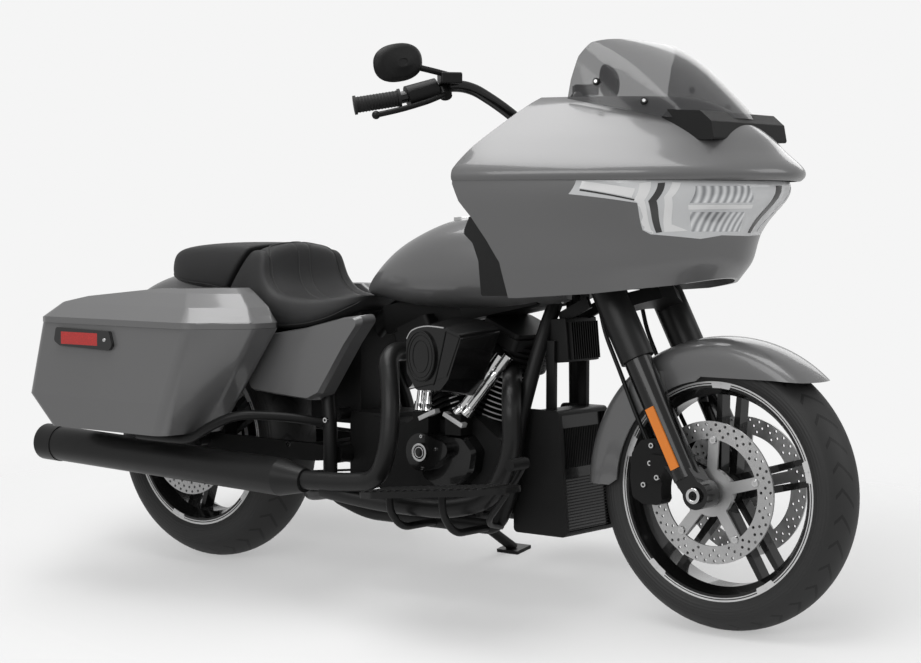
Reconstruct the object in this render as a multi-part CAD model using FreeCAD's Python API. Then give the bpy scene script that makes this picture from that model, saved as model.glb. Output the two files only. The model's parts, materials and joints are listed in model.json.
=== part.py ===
import FreeCAD
import Part
import math
import os

# Touring cruiser motorcycle. Modelled upright, +X forward, +Y to its left, +Z up, then leaned on its side stand.

# Stance and wheels
wheelbase = 1625.0
rake_angle = 26.0
trail = 170.0
lean_angle = 9.5
front_tyre_radius = 319.3
front_tyre_half_width = 65.0
front_rim_radius = 241.3
front_rim_half_width = 50.0
rear_tyre_radius = 327.6
rear_tyre_half_width = 90.0
rear_rim_radius = 228.6
rear_rim_half_width = 72.0
running_gap = 0.3
moving_gap = 6.0
overrun = 20.0
spoke_count = 5

# Steering
steering_lock_angle = 28.0
fork_half_span = 115.0
fork_angle = 27.8
fork_setback = 33.0
slider_radius = 32.0
cover_radius = 39.5
bar_radius = 14.0
grip_radius = 18.0

# Frame and engine, placed back from the front axle
pivot_setback = 1065.0
crank_setback = 720.0
frame_tube_radius = 18.0
backbone_radius = 26.0
rail_half_span = 118.0
rail_z = 190.0
cradle_half_span = 158.0
pivot_z = 330.0
crank_z = 325.0
cylinder_angle = 22.5
fin_radius = 75.0

# Bodywork
fairing_setback = 485.0
fairing_length = 670.0
fairing_half_width = 400.0
fairing_low_z = 748.0
fairing_height = 450.0
fairing_wall = 8.0
tank_setback = 1043.0
tank_length = 634.0
tank_low_z = 704.0
tank_height = 230.0
tank_half_width = 168.0
seat_setback = 1015.0
seat_length = 372.0
pad_length = 300.0
seat_base_z = 636.0
seat_height = 232.0
seat_half_width = 186.0
bag_inner_y = 215.0
bag_width = 225.0
bag_base_z = 377.0
bag_height = 273.0
bag_rear_x = -281.0
bag_length = 735.0
bag_wall = 5.0
lid_height = 98.0
muffler_radius = 47.0
muffler_y = 292.0

Vector = FreeCAD.Vector
origin = Vector(0, 0, 0)
across = Vector(0, 1, 0)
upward = Vector(0, 0, 1)
forward = Vector(1, 0, 0)
front_axle = Vector(wheelbase, 0, front_tyre_radius)
rear_axle = Vector(0, 0, rear_tyre_radius)
rake = math.radians(rake_angle)
steer_direction = Vector(-math.sin(rake), 0, math.cos(rake))
pivot_x = wheelbase - pivot_setback
crank_x = wheelbase - crank_setback
fairing_rear_x = wheelbase - fairing_setback
tank_rear_x = wheelbase - tank_setback
seat_front_x = wheelbase - seat_setback
seat_rear_x = seat_front_x - seat_length
bag_seam_z = bag_base_z + bag_height
bag_outer_y = bag_inner_y + bag_width


def steer_point(z, y=0):
    """The steering axis at height z."""
    return Vector(wheelbase + trail - z * math.tan(rake), y, z)


def fork_point(z, side=0):
    """A fork leg's centre line at height z."""
    x = front_axle.x - fork_setback + slider_radius / 2 - (z - front_axle.z) * math.tan(math.radians(fork_angle))
    return Vector(x, side * fork_half_span, z)


def rod(start, end, radius):
    run = end - start
    return Part.makeCylinder(radius, run.Length, start, run)


def disc(x, z, radius, y_low, y_high):
    return Part.makeCylinder(radius, y_high - y_low, Vector(x, y_low, z), across)


def ring(x, z, radius, bore, y_low, y_high):
    return disc(x, z, radius, y_low, y_high).cut(disc(x, z, bore, y_low - overrun, y_high + overrun))


def block(low, high):
    size = high - low
    return Part.makeBox(size.x, size.y, size.z, low)


def post(base, radius, height):
    return Part.makeCylinder(radius, height, base, upward)


def placed(shares, x, length, z, height):
    """Side-view points from shares of a length and a height."""
    return [(x + along_share * length, z + up_share * height) for along_share, up_share in shares]


def routed(shares, start, reach, side=1):
    """Points in space from shares of a reach in each direction, on one side of the bike."""
    return [start + Vector(along * reach.x, side * wide * reach.y, up * reach.z) for along, wide, up in shares]


def slab(points, y_low, y_high):
    """A side-view outline of (x, z) points, given thickness across the bike."""
    corners = [Vector(x, y_low, z) for x, z in points]
    face = Part.Face(Part.makePolygon(corners + corners[:1]))
    return face.extrude(Vector(0, y_high - y_low, 0))


def rounded(corners, radius, reach_share=0.42):
    """A closed wire through flat corners, each one rounded as far as its sides allow."""
    edges = []
    count = len(corners)
    last = None
    first = None
    for index in range(count):
        here = corners[index]
        before = corners[index - 1]
        after = corners[(index + 1) % count]
        back = (before - here).normalize()
        ahead = (after - here).normalize()
        half_turn = back.getAngle(ahead) / 2
        reach = min(radius / math.tan(half_turn), reach_share * min((before - here).Length, (after - here).Length))
        start = here + back * reach
        end = here + ahead * reach
        middle_way = (back + ahead).normalize()
        middle = here + middle_way * (reach / math.cos(half_turn) - reach * math.tan(half_turn))
        if last is not None:
            edges.append(Part.makeLine(last, start))
        edges.append(Part.Arc(start, middle, end).toShape())
        first = first or start
        last = end
    edges.append(Part.makeLine(last, first))
    return Part.Wire(edges)


def side_wire(points, y, radius):
    return rounded([Vector(x, y, z) for x, z in points], radius)


def plate(points, y_low, y_high, radius):
    """As slab, with rounded corners."""
    return Part.Face(side_wire(points, y_low, radius)).extrude(Vector(0, y_high - y_low, 0))


def cushioned(points, y_back, y_face, radius, rim_share):
    """A plate whose face is drawn in towards its middle, so that its edges slope."""
    x_middle = (min(x for x, z in points) + max(x for x, z in points)) / 2
    z_middle = (min(z for x, z in points) + max(z for x, z in points)) / 2
    wires = []
    for depth_share, size_share in ((0.0, 1.0), (0.72, 1.0 - rim_share / 3), (1.0, 1.0 - rim_share)):
        level = [(x_middle + (x - x_middle) * size_share, z_middle + (z - z_middle) * size_share) for x, z in points]
        wires.append(side_wire(level, y_back + (y_face - y_back) * depth_share, radius))
    return Part.makeLoft(wires, True, True)


def spun(profile, centre, turn_angle=360.0, start_angle=0.0):
    """A closed (radius, y) profile turned about the line across the bike through centre."""
    start = math.radians(start_angle)
    corners = [centre + Vector(r * math.cos(start), y, r * math.sin(start)) for r, y in profile]
    face = Part.Face(Part.makePolygon(corners + corners[:1]))
    return face.revolve(centre, Vector(0, -1, 0), turn_angle)


def turned(start, end, profile):
    """A closed (along, radius) profile turned about the line from start to end."""
    way = (end - start).normalize()
    side = way.cross(upward).normalize()
    corners = [start + way * along + side * radius for along, radius in profile]
    return Part.Face(Part.makePolygon(corners + corners[:1])).revolve(start, way, 360.0)


def curve_through(points):
    curve = Part.BSplineCurve()
    curve.interpolate(points)
    return curve.toShape()


def crown(outer, wall, centre, turn_angle, start_angle):
    """A mudguard: a smooth (radius, y) outline with a wall, turned about centre."""
    start = math.radians(start_angle)

    def points(inset, lift):
        half = [(r - inset + lift * inset, y - inset if y else 0) for r, y in outer]
        both = half + [(r, -y) for r, y in reversed(half[:-1])]
        return [centre + Vector(r * math.cos(start), y, r * math.sin(start)) for r, y in both]
    outside = points(0, 0)
    inside = points(wall, 0)
    inside[0] = Vector(outside[0].x, inside[0].y, outside[0].z)
    inside[-1] = Vector(outside[-1].x, inside[-1].y, outside[-1].z)
    edges = [curve_through(outside), Part.makeLine(outside[-1], inside[-1]), curve_through(inside),
             Part.makeLine(inside[0], outside[0])]
    face = Part.Face(Part.Wire(Part.__sortEdges__(edges)))
    return face.revolve(centre, Vector(0, -1, 0), turn_angle)


def smooth_spun(profile, centre):
    """As spun for a full turn, with the profile's points on one curve and its ends joined by a line."""
    corners = [centre + Vector(r, y, 0) for r, y in profile]
    face = Part.Face(Part.Wire([curve_through(corners), Part.makeLine(corners[-1], corners[0])]))
    return face.revolve(centre, Vector(0, -1, 0), 360.0)


def bent_tube(points, radius, bend_share=0.45):
    """A round tube along straight runs joined by tangent arcs."""
    edges = []
    last = points[0]
    for before, here, after in zip(points, points[1:], points[2:]):
        back = (before - here).normalize()
        ahead = (after - here).normalize()
        reach = bend_share * min((before - here).Length, (after - here).Length)
        start = here + back * reach
        end = here + ahead * reach
        half_turn = back.getAngle(ahead) / 2
        middle_way = (back + ahead).normalize()
        bend = reach * math.tan(half_turn)
        middle = here + middle_way * (reach / math.cos(half_turn) - bend)
        edges.append(Part.makeLine(last, start))
        edges.append(Part.Arc(start, middle, end).toShape())
        last = end
    edges.append(Part.makeLine(last, points[-1]))
    path = Part.Wire(edges)
    section = Part.Wire(Part.makeCircle(radius, points[0], points[1] - points[0]))
    return path.makePipeShell([section], True, False)


def hoop(x, low, high, half_width, fullness_share):
    """A closed curve across the bike at x, squarer as fullness_share falls."""
    middle = (low + high) / 2
    half_height = (high - low) / 2
    point_count = 20
    points = []
    for index in range(point_count):
        turn = 2 * math.pi * index / point_count
        y = math.copysign(abs(math.cos(turn)) ** fullness_share, math.cos(turn))
        z = math.copysign(abs(math.sin(turn)) ** fullness_share, math.sin(turn))
        points.append(Vector(x, y * half_width, middle + z * half_height))
    curve = Part.BSplineCurve()
    curve.interpolate(points, PeriodicFlag=True)
    return Part.Wire(curve.toShape())


def hoops(rows, rear_x, length, low_z, height, half_width):
    """A body lofted through hoops; a row holds shares: along, low, high, wide, fullness."""
    wires = [hoop(rear_x + along * length, low_z + low * height, low_z + high * height, wide * half_width, fullness)
             for along, low, high, wide, fullness in rows]
    return Part.makeLoft(wires, True, False)


def bow(z, rear_x, nose_x, half_width, point_share):
    """A level outline with its nose forward, closed at the rear; sharper as point_share rises."""
    step_count = 20
    points = []
    for index in range(step_count + 1):
        turn = math.pi * (index / step_count - 0.5)
        x = rear_x + (nose_x - rear_x) * max(math.cos(turn), 0) ** point_share
        y = math.copysign(abs(math.sin(turn)) ** point_share, math.sin(turn)) * half_width
        points.append(Vector(x, y, z))
    return Part.Wire([curve_through(points), Part.makeLine(points[-1], points[0])])


def bows(rows, rear_x, length, low_z, height, half_width, point_share):
    """A body lofted through bows; a row holds shares: up, nose, half width."""
    wires = [bow(low_z + up * height, rear_x, rear_x + nose * length, wide * half_width, point_share)
             for up, nose, wide in rows]
    return Part.makeLoft(wires, True, False)


def mirrored(shape):
    return shape.mirror(origin, across)


def both_sides(shape):
    return Part.makeCompound([shape, mirrored(shape)])


def joined(first, *others):
    return first.fuse(list(others)).removeSplitter()


def without(shape, *tools):
    return shape.cut(list(tools))


def largest(shape):
    return max(shape.Solids, key=lambda solid: solid.Volume)


# Wheels

rim_lip = 13.0
rim_barrel = 9.0
rim_well = 16.0
rim_lip_width = 8.0
rim_overhang = 6.0
spoke_half_depth = 17.0
spoke_root_spread = 19.0
spoke_tip_spread = 25.0
spoke_root_half_width = 9.5
spoke_tip_half_width = 6.5
front_hub_radius = 34.0
front_hub_half_width = 62.0
front_axle_radius = 12.5
front_spoke_turn_angle = 15.0
rear_spoke_turn_angle = 35.0
disc_radius = 160.0
disc_band = 40.0
disc_thickness = 5.0
disc_arm_half_width = 13.0
front_disc_y = 73.0
rear_hub_radius = 46.0
rear_hub_half_width = 78.0
rear_axle_radius = 12.5
rear_disc_radius = 150.0
rear_disc_y = 106.0
sprocket_radius = 112.0
sprocket_rim = 18.0
belt_y = 106.0
belt_width = 20.0


def tyre(centre, radius, half_width, rim_radius, rim_half_width):
    height = radius - rim_radius
    bead_share = rim_half_width / half_width
    section_shares = [(0.0, bead_share), (0.14, 0.93), (0.36, 1.0), (0.60, 0.93), (0.80, 0.70), (0.94, 0.40), (1.0, 0.0)]
    left = [(rim_radius + up * height, wide * half_width) for up, wide in section_shares]
    right = [(r, -y) for r, y in reversed(left[:-1])]
    return smooth_spun(left + right, centre)


def rim(centre, rim_radius, half_width, hub_radius, hub_half_width, bore, spoke_turn_angle):
    lip_radius = rim_radius + rim_lip
    bed_radius = rim_radius - rim_barrel
    well_radius = bed_radius - rim_well
    profile = [
        (rim_radius - running_gap, half_width - rim_lip_width),
        (lip_radius, half_width - rim_lip_width + running_gap),
        (lip_radius, half_width),
        (bed_radius, half_width),
        (well_radius, half_width / 2),
        (well_radius, -half_width / 2),
        (bed_radius, -half_width),
        (lip_radius, -half_width),
        (lip_radius, -half_width + rim_lip_width - running_gap),
        (rim_radius - running_gap, -half_width + rim_lip_width),
        (rim_radius - rim_well, -half_width / 2),
        (rim_radius - rim_well, half_width / 2),
    ]
    shape = spun(profile, centre)
    pieces = [disc(centre.x, centre.z, hub_radius, -hub_half_width, hub_half_width)]
    reach = well_radius + rim_barrel / 2
    root = hub_radius * 0.6
    for index in range(spoke_count):
        turn = spoke_turn_angle + index * 360.0 / spoke_count
        for side in (-1, 1):
            corners = [
                (root, side * spoke_root_spread - spoke_root_half_width),
                (reach, side * spoke_tip_spread - spoke_tip_half_width),
                (reach, side * spoke_tip_spread + spoke_tip_half_width),
                (root, side * spoke_root_spread + spoke_root_half_width),
            ]
            points = [(centre.x + along, centre.z + up) for along, up in corners]
            spoke = slab(points, -spoke_half_depth, spoke_half_depth)
            spoke.rotate(centre, Vector(0, -1, 0), turn)
            pieces.append(spoke)
    shape = joined(shape, *pieces)
    return without(shape, disc(centre.x, centre.z, bore, -hub_half_width - overrun, hub_half_width + overrun))


def front_rim():
    return rim(front_axle, front_rim_radius, front_rim_half_width + rim_overhang, front_hub_radius,
               front_hub_half_width, front_axle_radius + running_gap, front_spoke_turn_angle)


def brake_disc(centre, radius, y_middle, hub_face_y, hub_radius, turn_start):
    """A braking band on five arms that reach in to a hub ring."""
    half = disc_thickness / 2
    band = ring(centre.x, centre.z, radius, radius - disc_band, y_middle - half, y_middle + half)
    side = math.copysign(1, y_middle)
    inner_low = min(side * hub_face_y, y_middle + side * half)
    inner_high = max(side * hub_face_y, y_middle + side * half)
    carrier = disc(centre.x, centre.z, hub_radius + disc_band / 2, inner_low, inner_high)
    reach = radius - disc_band + disc_arm_half_width
    arms = []
    for index in range(spoke_count):
        arm = block(Vector(0, y_middle - half, -disc_arm_half_width), Vector(reach, y_middle + half, disc_arm_half_width))
        arm.translate(centre)
        arm.rotate(centre, Vector(0, -1, 0), turn_start + index * 360.0 / spoke_count)
        arms.append(arm)
    shape = joined(band, carrier, *arms)
    bore = disc(centre.x, centre.z, front_axle_radius + 4 * running_gap, inner_low - overrun, inner_high + overrun)
    return without(shape, bore)


def front_discs():
    left = brake_disc(front_axle, disc_radius, front_disc_y, front_hub_half_width, front_hub_radius,
                      front_spoke_turn_angle)
    return both_sides(left)


def rear_rim():
    return rim(rear_axle, rear_rim_radius, rear_rim_half_width + rim_overhang, rear_hub_radius,
               rear_hub_half_width, rear_axle_radius + running_gap, rear_spoke_turn_angle)


def rear_disc():
    return brake_disc(rear_axle, rear_disc_radius, -rear_disc_y, rear_hub_half_width, rear_hub_radius,
                      rear_spoke_turn_angle)


def rear_sprocket():
    half = belt_width / 2
    wheel = ring(0, rear_axle.z, sprocket_radius, sprocket_radius - sprocket_rim, belt_y - half, belt_y + half)
    web = disc(0, rear_axle.z, sprocket_radius - sprocket_rim / 2, belt_y - half / 2, belt_y + half / 2)
    boss = disc(0, rear_axle.z, rear_hub_radius, rear_hub_half_width, belt_y)
    shape = joined(wheel, web, boss)
    bore = disc(0, rear_axle.z, rear_axle_radius + running_gap, rear_hub_half_width - overrun, belt_y + belt_width)
    return without(shape, bore)


# Fork, bars and front fender

leg_foot_half_width = 26.0
leg_foot_height = 60.0
leg_lift = 34.0
slider_height = 291.0
cover_height = 325.0
lower_clamp_z = 748.0
upper_clamp_z = 925.0
clamp_thickness = 32.0
stem_radius = 16.0
head_radius = 31.0
axle_end_y = 150.0
axle_bore_radius = 8.0
slider_top_z = front_axle.z + slider_height
cover_top_z = slider_top_z + cover_height
reflector_thickness = 5.0
reflector_length = 148.0
reflector_half_width = 11.0
reflector_drop = 95.0


def leg_foot(side):
    """The cast foot that holds the axle at the bottom of a slider."""
    low = side * fork_half_span - leg_foot_half_width
    high = side * fork_half_span + leg_foot_half_width
    eye = disc(front_axle.x, front_axle.z, slider_radius, low, high)
    top = fork_point(front_axle.z + leg_foot_height)
    points = [
        (front_axle.x, front_axle.z - slider_radius),
        (front_axle.x + slider_radius, front_axle.z),
        (top.x + slider_radius, top.z),
        (top.x - slider_radius, top.z),
        (front_axle.x - slider_radius, front_axle.z),
    ]
    foot = joined(eye, slab(points, low, high))
    return without(foot, disc(front_axle.x, front_axle.z, front_axle_radius, low - overrun, high + overrun))


def fork_sliders():
    shapes = []
    for side in (-1, 1):
        tube = rod(fork_point(front_axle.z + leg_lift, side), fork_point(slider_top_z, side), slider_radius)
        tube = without(tube, disc(front_axle.x, front_axle.z, front_axle_radius, -axle_end_y, axle_end_y))
        shapes.append(joined(tube, leg_foot(side)))
    return Part.makeCompound(shapes)


def fork_covers():
    return Part.makeCompound([
        rod(fork_point(slider_top_z, side), fork_point(cover_top_z, side), cover_radius)
        for side in (-1, 1)
    ])


def fork_reflectors():
    """A flat strip along the outside of each slider."""
    shapes = []
    for side in (-1, 1):
        middle = fork_point(slider_top_z - reflector_drop - reflector_length / 2, side)
        face = side * (slider_radius - running_gap)
        strip = block(Vector(-reflector_half_width, min(0, side * reflector_thickness), -reflector_length / 2),
                      Vector(reflector_half_width, max(0, side * reflector_thickness), reflector_length / 2))
        strip.rotate(origin, across, -fork_angle)
        strip.translate(middle + Vector(0, face, 0))
        shapes.append(without(strip, rod(fork_point(front_axle.z, side), fork_point(slider_top_z, side), slider_radius)))
    return Part.makeCompound(shapes)


def clamp_plate(z):
    """A yoke that joins both legs to the steering stem."""
    middle = steer_point(z)
    leg = fork_point(z)
    boss = stem_radius * 2
    ear = cover_radius / 2
    outline = [
        (middle.x + boss, boss), (middle.x + boss, -boss), (leg.x + cover_radius, -fork_half_span),
        (leg.x - ear, -fork_half_span), (middle.x - boss, -ear), (middle.x - boss, ear),
        (leg.x - ear, fork_half_span), (leg.x + cover_radius, fork_half_span),
    ]
    corners = [Vector(x, y, z - clamp_thickness / 2) for x, y in outline]
    yoke = Part.Face(Part.makePolygon(corners + corners[:1])).extrude(Vector(0, 0, clamp_thickness))
    yoke.rotate(Vector(middle.x, 0, z), across, -rake_angle)
    legs = [rod(fork_point(slider_top_z, side), fork_point(cover_top_z + overrun, side), cover_radius)
            for side in (-1, 1)]
    return without(yoke, *legs)


riser_half_span = 50.0
riser_setback = 12.0
riser_lift = 40.0
riser_plate_radius = 18.0
bar_rise = 171.0
bar_setback = 185.0
bar_clamp_radius = 23.0
stem_lift = 60.0
riser_foot = steer_point(upper_clamp_z + riser_lift) - forward * riser_setback
bar_middle = steer_point(upper_clamp_z) + Vector(0, 0, bar_rise)
bar_middle.x = steer_point(upper_clamp_z).x - bar_setback + riser_setback


def steering_stem():
    stem = rod(steer_point(lower_clamp_z), steer_point(upper_clamp_z + stem_lift), stem_radius)
    plate_end = across * (riser_half_span + stem_radius)
    pieces = [clamp_plate(upper_clamp_z), stem, rod(riser_foot - plate_end, riser_foot + plate_end, riser_plate_radius)]
    for side in (-1, 1):
        foot = riser_foot + across * side * riser_half_span
        top = bar_middle + across * side * riser_half_span
        pieces.append(rod(foot, top, bar_radius))
        pieces.append(rod(top - across * bar_radius, top + across * bar_radius, bar_clamp_radius))
    return joined(clamp_plate(lower_clamp_z), *pieces)


bar_half_span = 428.0
bar_pullback = 285.0
bar_height = 147.0
bar_reach = Vector(bar_pullback, bar_half_span, bar_height)
bar_shares = [
    (0.0, 0.173, 0.0), (-0.246, 0.35, 0.599), (-0.456, 0.542, 1.0), (-0.702, 0.799, 0.748),
    (-1.0, 1.0, 0.612),
]
grip_start_share = 0.16
grip_flange = 6.0
grip_flange_radius = 22.0
housing_shares = [(-0.575, 0.668, 0.884), (-0.716, 0.804, 0.748)]
housing_radius = 25.0
lever_shares = [
    (-0.498, 0.666, 0.789), (-0.561, 0.743, 0.68), (-0.691, 0.864, 0.544), (-0.821, 0.977, 0.449),
]
lever_mount_shares = [(-0.54, 0.631, 0.925), (-0.484, 0.664, 0.762)]
lever_radius = 6.5
lever_mount_radius = 15.0
reservoir_share = [(-0.477, 0.636, 0.952)]
reservoir_length = 62.0
reservoir_width = 50.0
reservoir_height = 26.0
reservoir_turn_angle = 42.0


def bar_places(shares, side):
    return routed(shares, Vector(bar_middle.x, 0, bar_middle.z), bar_reach, side)


def handlebar():
    right = bar_places(bar_shares, -1)
    left = bar_places(bar_shares, 1)
    return bent_tube(list(reversed(right)) + left, bar_radius)


def grips():
    shapes = []
    for side in (-1, 1):
        bend, outer = bar_places(bar_shares, side)[-2:]
        inner = bend + (outer - bend) * grip_start_share
        way = (outer - inner).normalize()
        sleeve = rod(inner, outer + way * grip_flange, grip_radius)
        flange = rod(inner, inner + way * grip_flange, grip_flange_radius)
        cap = rod(outer, outer + way * grip_flange, grip_flange_radius)
        shapes.append(joined(sleeve, flange, cap))
    return Part.makeCompound(shapes)


def hand_controls():
    shapes = []
    bar = handlebar()
    for side in (-1, 1):
        start, end = bar_places(housing_shares, side)
        housing = rod(start, end, housing_radius)
        lever = bent_tube(bar_places(lever_shares, side), lever_radius)
        tip = bar_places(lever_shares, side)[-1]
        ball = Part.makeSphere(lever_radius + lever_radius / 2, tip)
        low, high = bar_places(lever_mount_shares, side)
        mount = rod(low, high, lever_mount_radius)
        well = block(Vector(-reservoir_length / 2, -reservoir_width / 2, 0),
                     Vector(reservoir_length / 2, reservoir_width / 2, reservoir_height))
        well = well.makeFillet(reservoir_height / 6, well.Edges)
        well.rotate(origin, upward, side * reservoir_turn_angle)
        well.translate(bar_places(reservoir_share, side)[0])
        shapes.append(without(joined(housing, well, lever, ball, mount), bar))
    return Part.makeCompound(shapes)


mirror_half_width = 66.0
mirror_half_height = 43.0
mirror_depth = 26.0
mirror_turn_angle = 16.0
mirror_tilt_angle = 10.0
mirror_stalk_radius = 7.0
mirror_share = [(-0.604, 0.977, 1.238)]
mirror_stalk_shares = [(-0.47, 0.645, 1.088), (-0.498, 0.771, 1.143), (-0.554, 0.916, 1.204)]


def mirror_head():
    """The shell behind the glass, its face to the rear."""
    dome_shares = [(0.0, 0.93), (0.12, 1.0), (0.45, 0.93), (0.75, 0.72), (0.93, 0.42), (1.0, 0.16)]
    wires = [hoop(along * mirror_depth, -wide * mirror_half_height, wide * mirror_half_height,
                  wide * mirror_half_width, 0.85) for along, wide in dome_shares]
    return Part.makeLoft(wires, True, False)


def mirrors():
    shapes = []
    controls = hand_controls()
    for side in (-1, 1):
        head = mirror_head()
        head.rotate(origin, forward, -side * mirror_tilt_angle)
        head.rotate(origin, upward, side * mirror_turn_angle)
        head.translate(bar_places(mirror_share, side)[0])
        stalk = bent_tube(bar_places(mirror_stalk_shares, side), mirror_stalk_radius)
        shapes.append(largest(joined(head, stalk).cut(controls)))
    return Part.makeCompound(shapes)


fender_radius = 346.0
fender_skirt = 96.0
fender_half_width = 80.0
fender_wall = 4.0
fender_front_angle = 40.0
fender_rear_angle = 181.0
fender_line_lift = 262.0
fender_tab_thickness = 12.5
fender_crown_shares = [(0.0, 1.0), (0.35, 1.0), (0.60, 0.985), (0.78, 0.92), (0.90, 0.76), (0.97, 0.46), (1.0, 0.0)]


def front_fender():
    """Its lower edge runs level in front of the axle and down along the wheel behind it."""
    skirt_radius = fender_radius - fender_skirt
    outer = [(skirt_radius + up * fender_skirt, wide * fender_half_width) for up, wide in fender_crown_shares]
    shape = crown(outer, fender_wall, front_axle, fender_rear_angle - fender_front_angle, fender_front_angle)
    side = fender_radius + fender_wall
    nose_shares = [(-0.083, 0.984), (0.443, 0.984), (1.143, 0.942), (1.143, -0.837), (-0.083, -0.837)]
    tail_shares = [
        (-0.08, 0.984), (-0.186, 0.861), (-0.343, 0.69), (-0.506, 0.384), (-0.643, 0.098),
        (-0.857, -0.089), (-0.571, -0.837), (-0.08, -0.837),
    ]
    cuts = [slab(placed(shares, front_axle.x, side, front_axle.z, fender_line_lift), -side, side)
            for shares in (nose_shares, tail_shares)]
    tab_shares = [(-0.443, 0.709), (-0.3, 0.709), (-0.357, 1.014), (-0.5, 1.014)]
    tab = slab(placed(tab_shares, front_axle.x, side, front_axle.z, fender_line_lift),
               running_gap * 2 - fender_half_width - fender_tab_thickness, running_gap * 2 - fender_half_width)
    return joined(without(shape, *cuts), tab, mirrored(tab))


caliper_setback = 184.0
caliper_length = 98.0
caliper_drop = 34.0
caliper_height = 152.0
caliper_clearance = 7.5
caliper_shares = [
    (0.0, 0.393), (0.071, 0.097), (0.347, 0.005), (0.806, 0.005), (0.98, 0.215), (0.969, 0.82),
    (0.704, 0.998), (0.296, 0.952), (0.051, 0.755),
]
caliper_arm_shares = [(0.602, 0.36), (1.459, 0.36), (1.337, 0.755), (0.602, 0.755)]


hose_radius = 5.0
hose_shares = [
    (-0.431, 0.783, 0.346), (-0.529, 0.765, 0.575), (-0.6, 0.757, 0.766), (-0.666, 0.757, 0.957),
    (-0.797, 0.757, 1.316), (-0.843, 0.757, 1.552),
]


def brake_hose():
    """From the caliper up behind its slider to the lower clamp."""
    reach = Vector(fender_radius + fender_wall, fork_half_span, fender_line_lift)
    return bent_tube(routed(hose_shares, front_axle, reach, -1), hose_radius)


def front_calipers():
    x = front_axle.x - caliper_setback
    z = front_axle.z - caliper_drop
    outer_y = -fork_half_span - caliper_clearance
    inner_y = caliper_clearance - front_disc_y
    body = plate(placed(caliper_shares, x, caliper_length, z, caliper_height), outer_y, inner_y, caliper_length / 8)
    arm = slab(placed(caliper_arm_shares, x, caliper_length, z, caliper_height),
               outer_y - caliper_clearance, fork_half_span / 8 - fork_half_span)
    slot_radius = disc_radius + caliper_clearance
    slot = disc(front_axle.x, front_axle.z, slot_radius, -front_disc_y - caliper_clearance,
                caliper_clearance - front_disc_y)
    hub = disc(front_axle.x, front_axle.z, disc_radius - disc_band - disc_band / 2, -axle_end_y, 0)
    return both_sides(joined(without(joined(body, arm), slot, hub), brake_hose()))


def front_axle_bar():
    end = across * axle_end_y
    return rod(front_axle - end, front_axle + end, front_axle_radius - running_gap).cut(
        rod(front_axle - end * 2, front_axle + end * 2, axle_bore_radius))


# Frame

frame_length = 626.0
frame_height = 630.0
head_low_z = 790.0
head_high_z = 900.0
tail_reach = 680.0
tail_height = 442.0
frame_reach = Vector(frame_length, rail_half_span, frame_height)
spine_shares = [(0.942, 0.0, 0.992), (0.224, 0.0, 0.844), (0.0, 0.0, 0.714), (-0.024, 0.0, 0.397)]
cradle_shares = [
    (1.0, 0.0, 1.0), (0.946, 0.602, 0.714), (0.898, 1.0, 0.397), (0.866, 1.0, 0.143),
    (0.799, 1.0, 0.0), (0.144, 1.0, 0.0), (0.0, 1.339, 0.073), (0.0, 1.339, 0.365),
    (-0.096, 1.0, 0.651),
]
rear_rail_shares = [(-0.382, 0.992, 1.0), (-1.0, 0.992, 0.955)]
bag_mount_shares = [(-0.912, 1.0, 0.962), (-0.507, 1.0, 0.989)]
cross_tube_shares = [(0.882, 0.27), (0.543, 0.0), (0.208, 0.0), (-0.019, 0.381)]
engine_post_shares = [(0.543, 0.0), (0.208, 0.0)]
head_room = 110.0
gusset_thickness = 18.0
gusset_shares = [(1.342, 0.968), (1.022, 0.952), (1.022, 1.016), (1.31, 1.079)]
mount_radius = 9.0
post_radius = 20.0
post_height = 72.0


def frame():
    base = Vector(pivot_x, 0, rail_z)
    head = rod(steer_point(head_low_z), steer_point(head_high_z), head_radius)
    bore = rod(steer_point(head_low_z - head_room), steer_point(head_high_z + head_room), stem_radius + running_gap)
    spine_points = [steer_point((head_low_z + 2 * head_high_z) / 3)] + routed(spine_shares, base, frame_reach)
    spine = bent_tube(spine_points, backbone_radius, 0.3)
    gusset = slab(placed(gusset_shares, pivot_x, frame_length, rail_z, frame_height),
                  -gusset_thickness / 2, gusset_thickness / 2)
    tail = Vector(tail_reach, rail_half_span, tail_height)
    pieces = [spine, gusset]
    for side in (-1, 1):
        route = routed(cradle_shares, base, frame_reach, side) + routed(rear_rail_shares, base, tail, side)
        pieces.append(bent_tube(route, frame_tube_radius, 0.35))
        for place in routed(bag_mount_shares, base, tail, side):
            pieces.append(rod(place, Vector(place.x, side * bag_inner_y, place.z), mount_radius))
        fender_y = side * (rear_fender_half_width - 2 * rear_fender_wall)
        pieces.append(rod(place, Vector(place.x, fender_y, place.z), mount_radius))
    for x, z in placed(cross_tube_shares, pivot_x, frame_length, rail_z, frame_height):
        pieces.append(rod(Vector(x, -rail_half_span, z), Vector(x, rail_half_span, z), frame_tube_radius * 0.8))
    for x, z in placed(engine_post_shares, pivot_x, frame_length, rail_z, frame_height):
        pieces.append(rod(Vector(x, 0, z), Vector(x, 0, z + post_height), post_radius))
    pieces += [bag_guard(-1), bag_guard(1), stand_bracket()]
    return without(joined(head, *pieces), bore)


arm_inner_y = 120.0
arm_outer_y = 138.0
arm_height = 54.0
arm_tube_radius = 22.0
arm_shares = [
    (-0.061, 0.148), (-0.061, 0.815), (0.107, 1.0), (0.857, 0.926), (0.936, 0.889), (0.936, 0.185),
    (0.857, 0.111), (0.071, 0.0),
]
arm_brace_shares = [(0.768, 0.185), (0.854, 0.185), (0.854, 0.852), (0.768, 0.852)]
arm_web_shares = [(0.786, 0.259), (1.0, 0.185), (1.0, 0.852), (0.786, 0.778)]
arm_drop = 25.6


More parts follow.
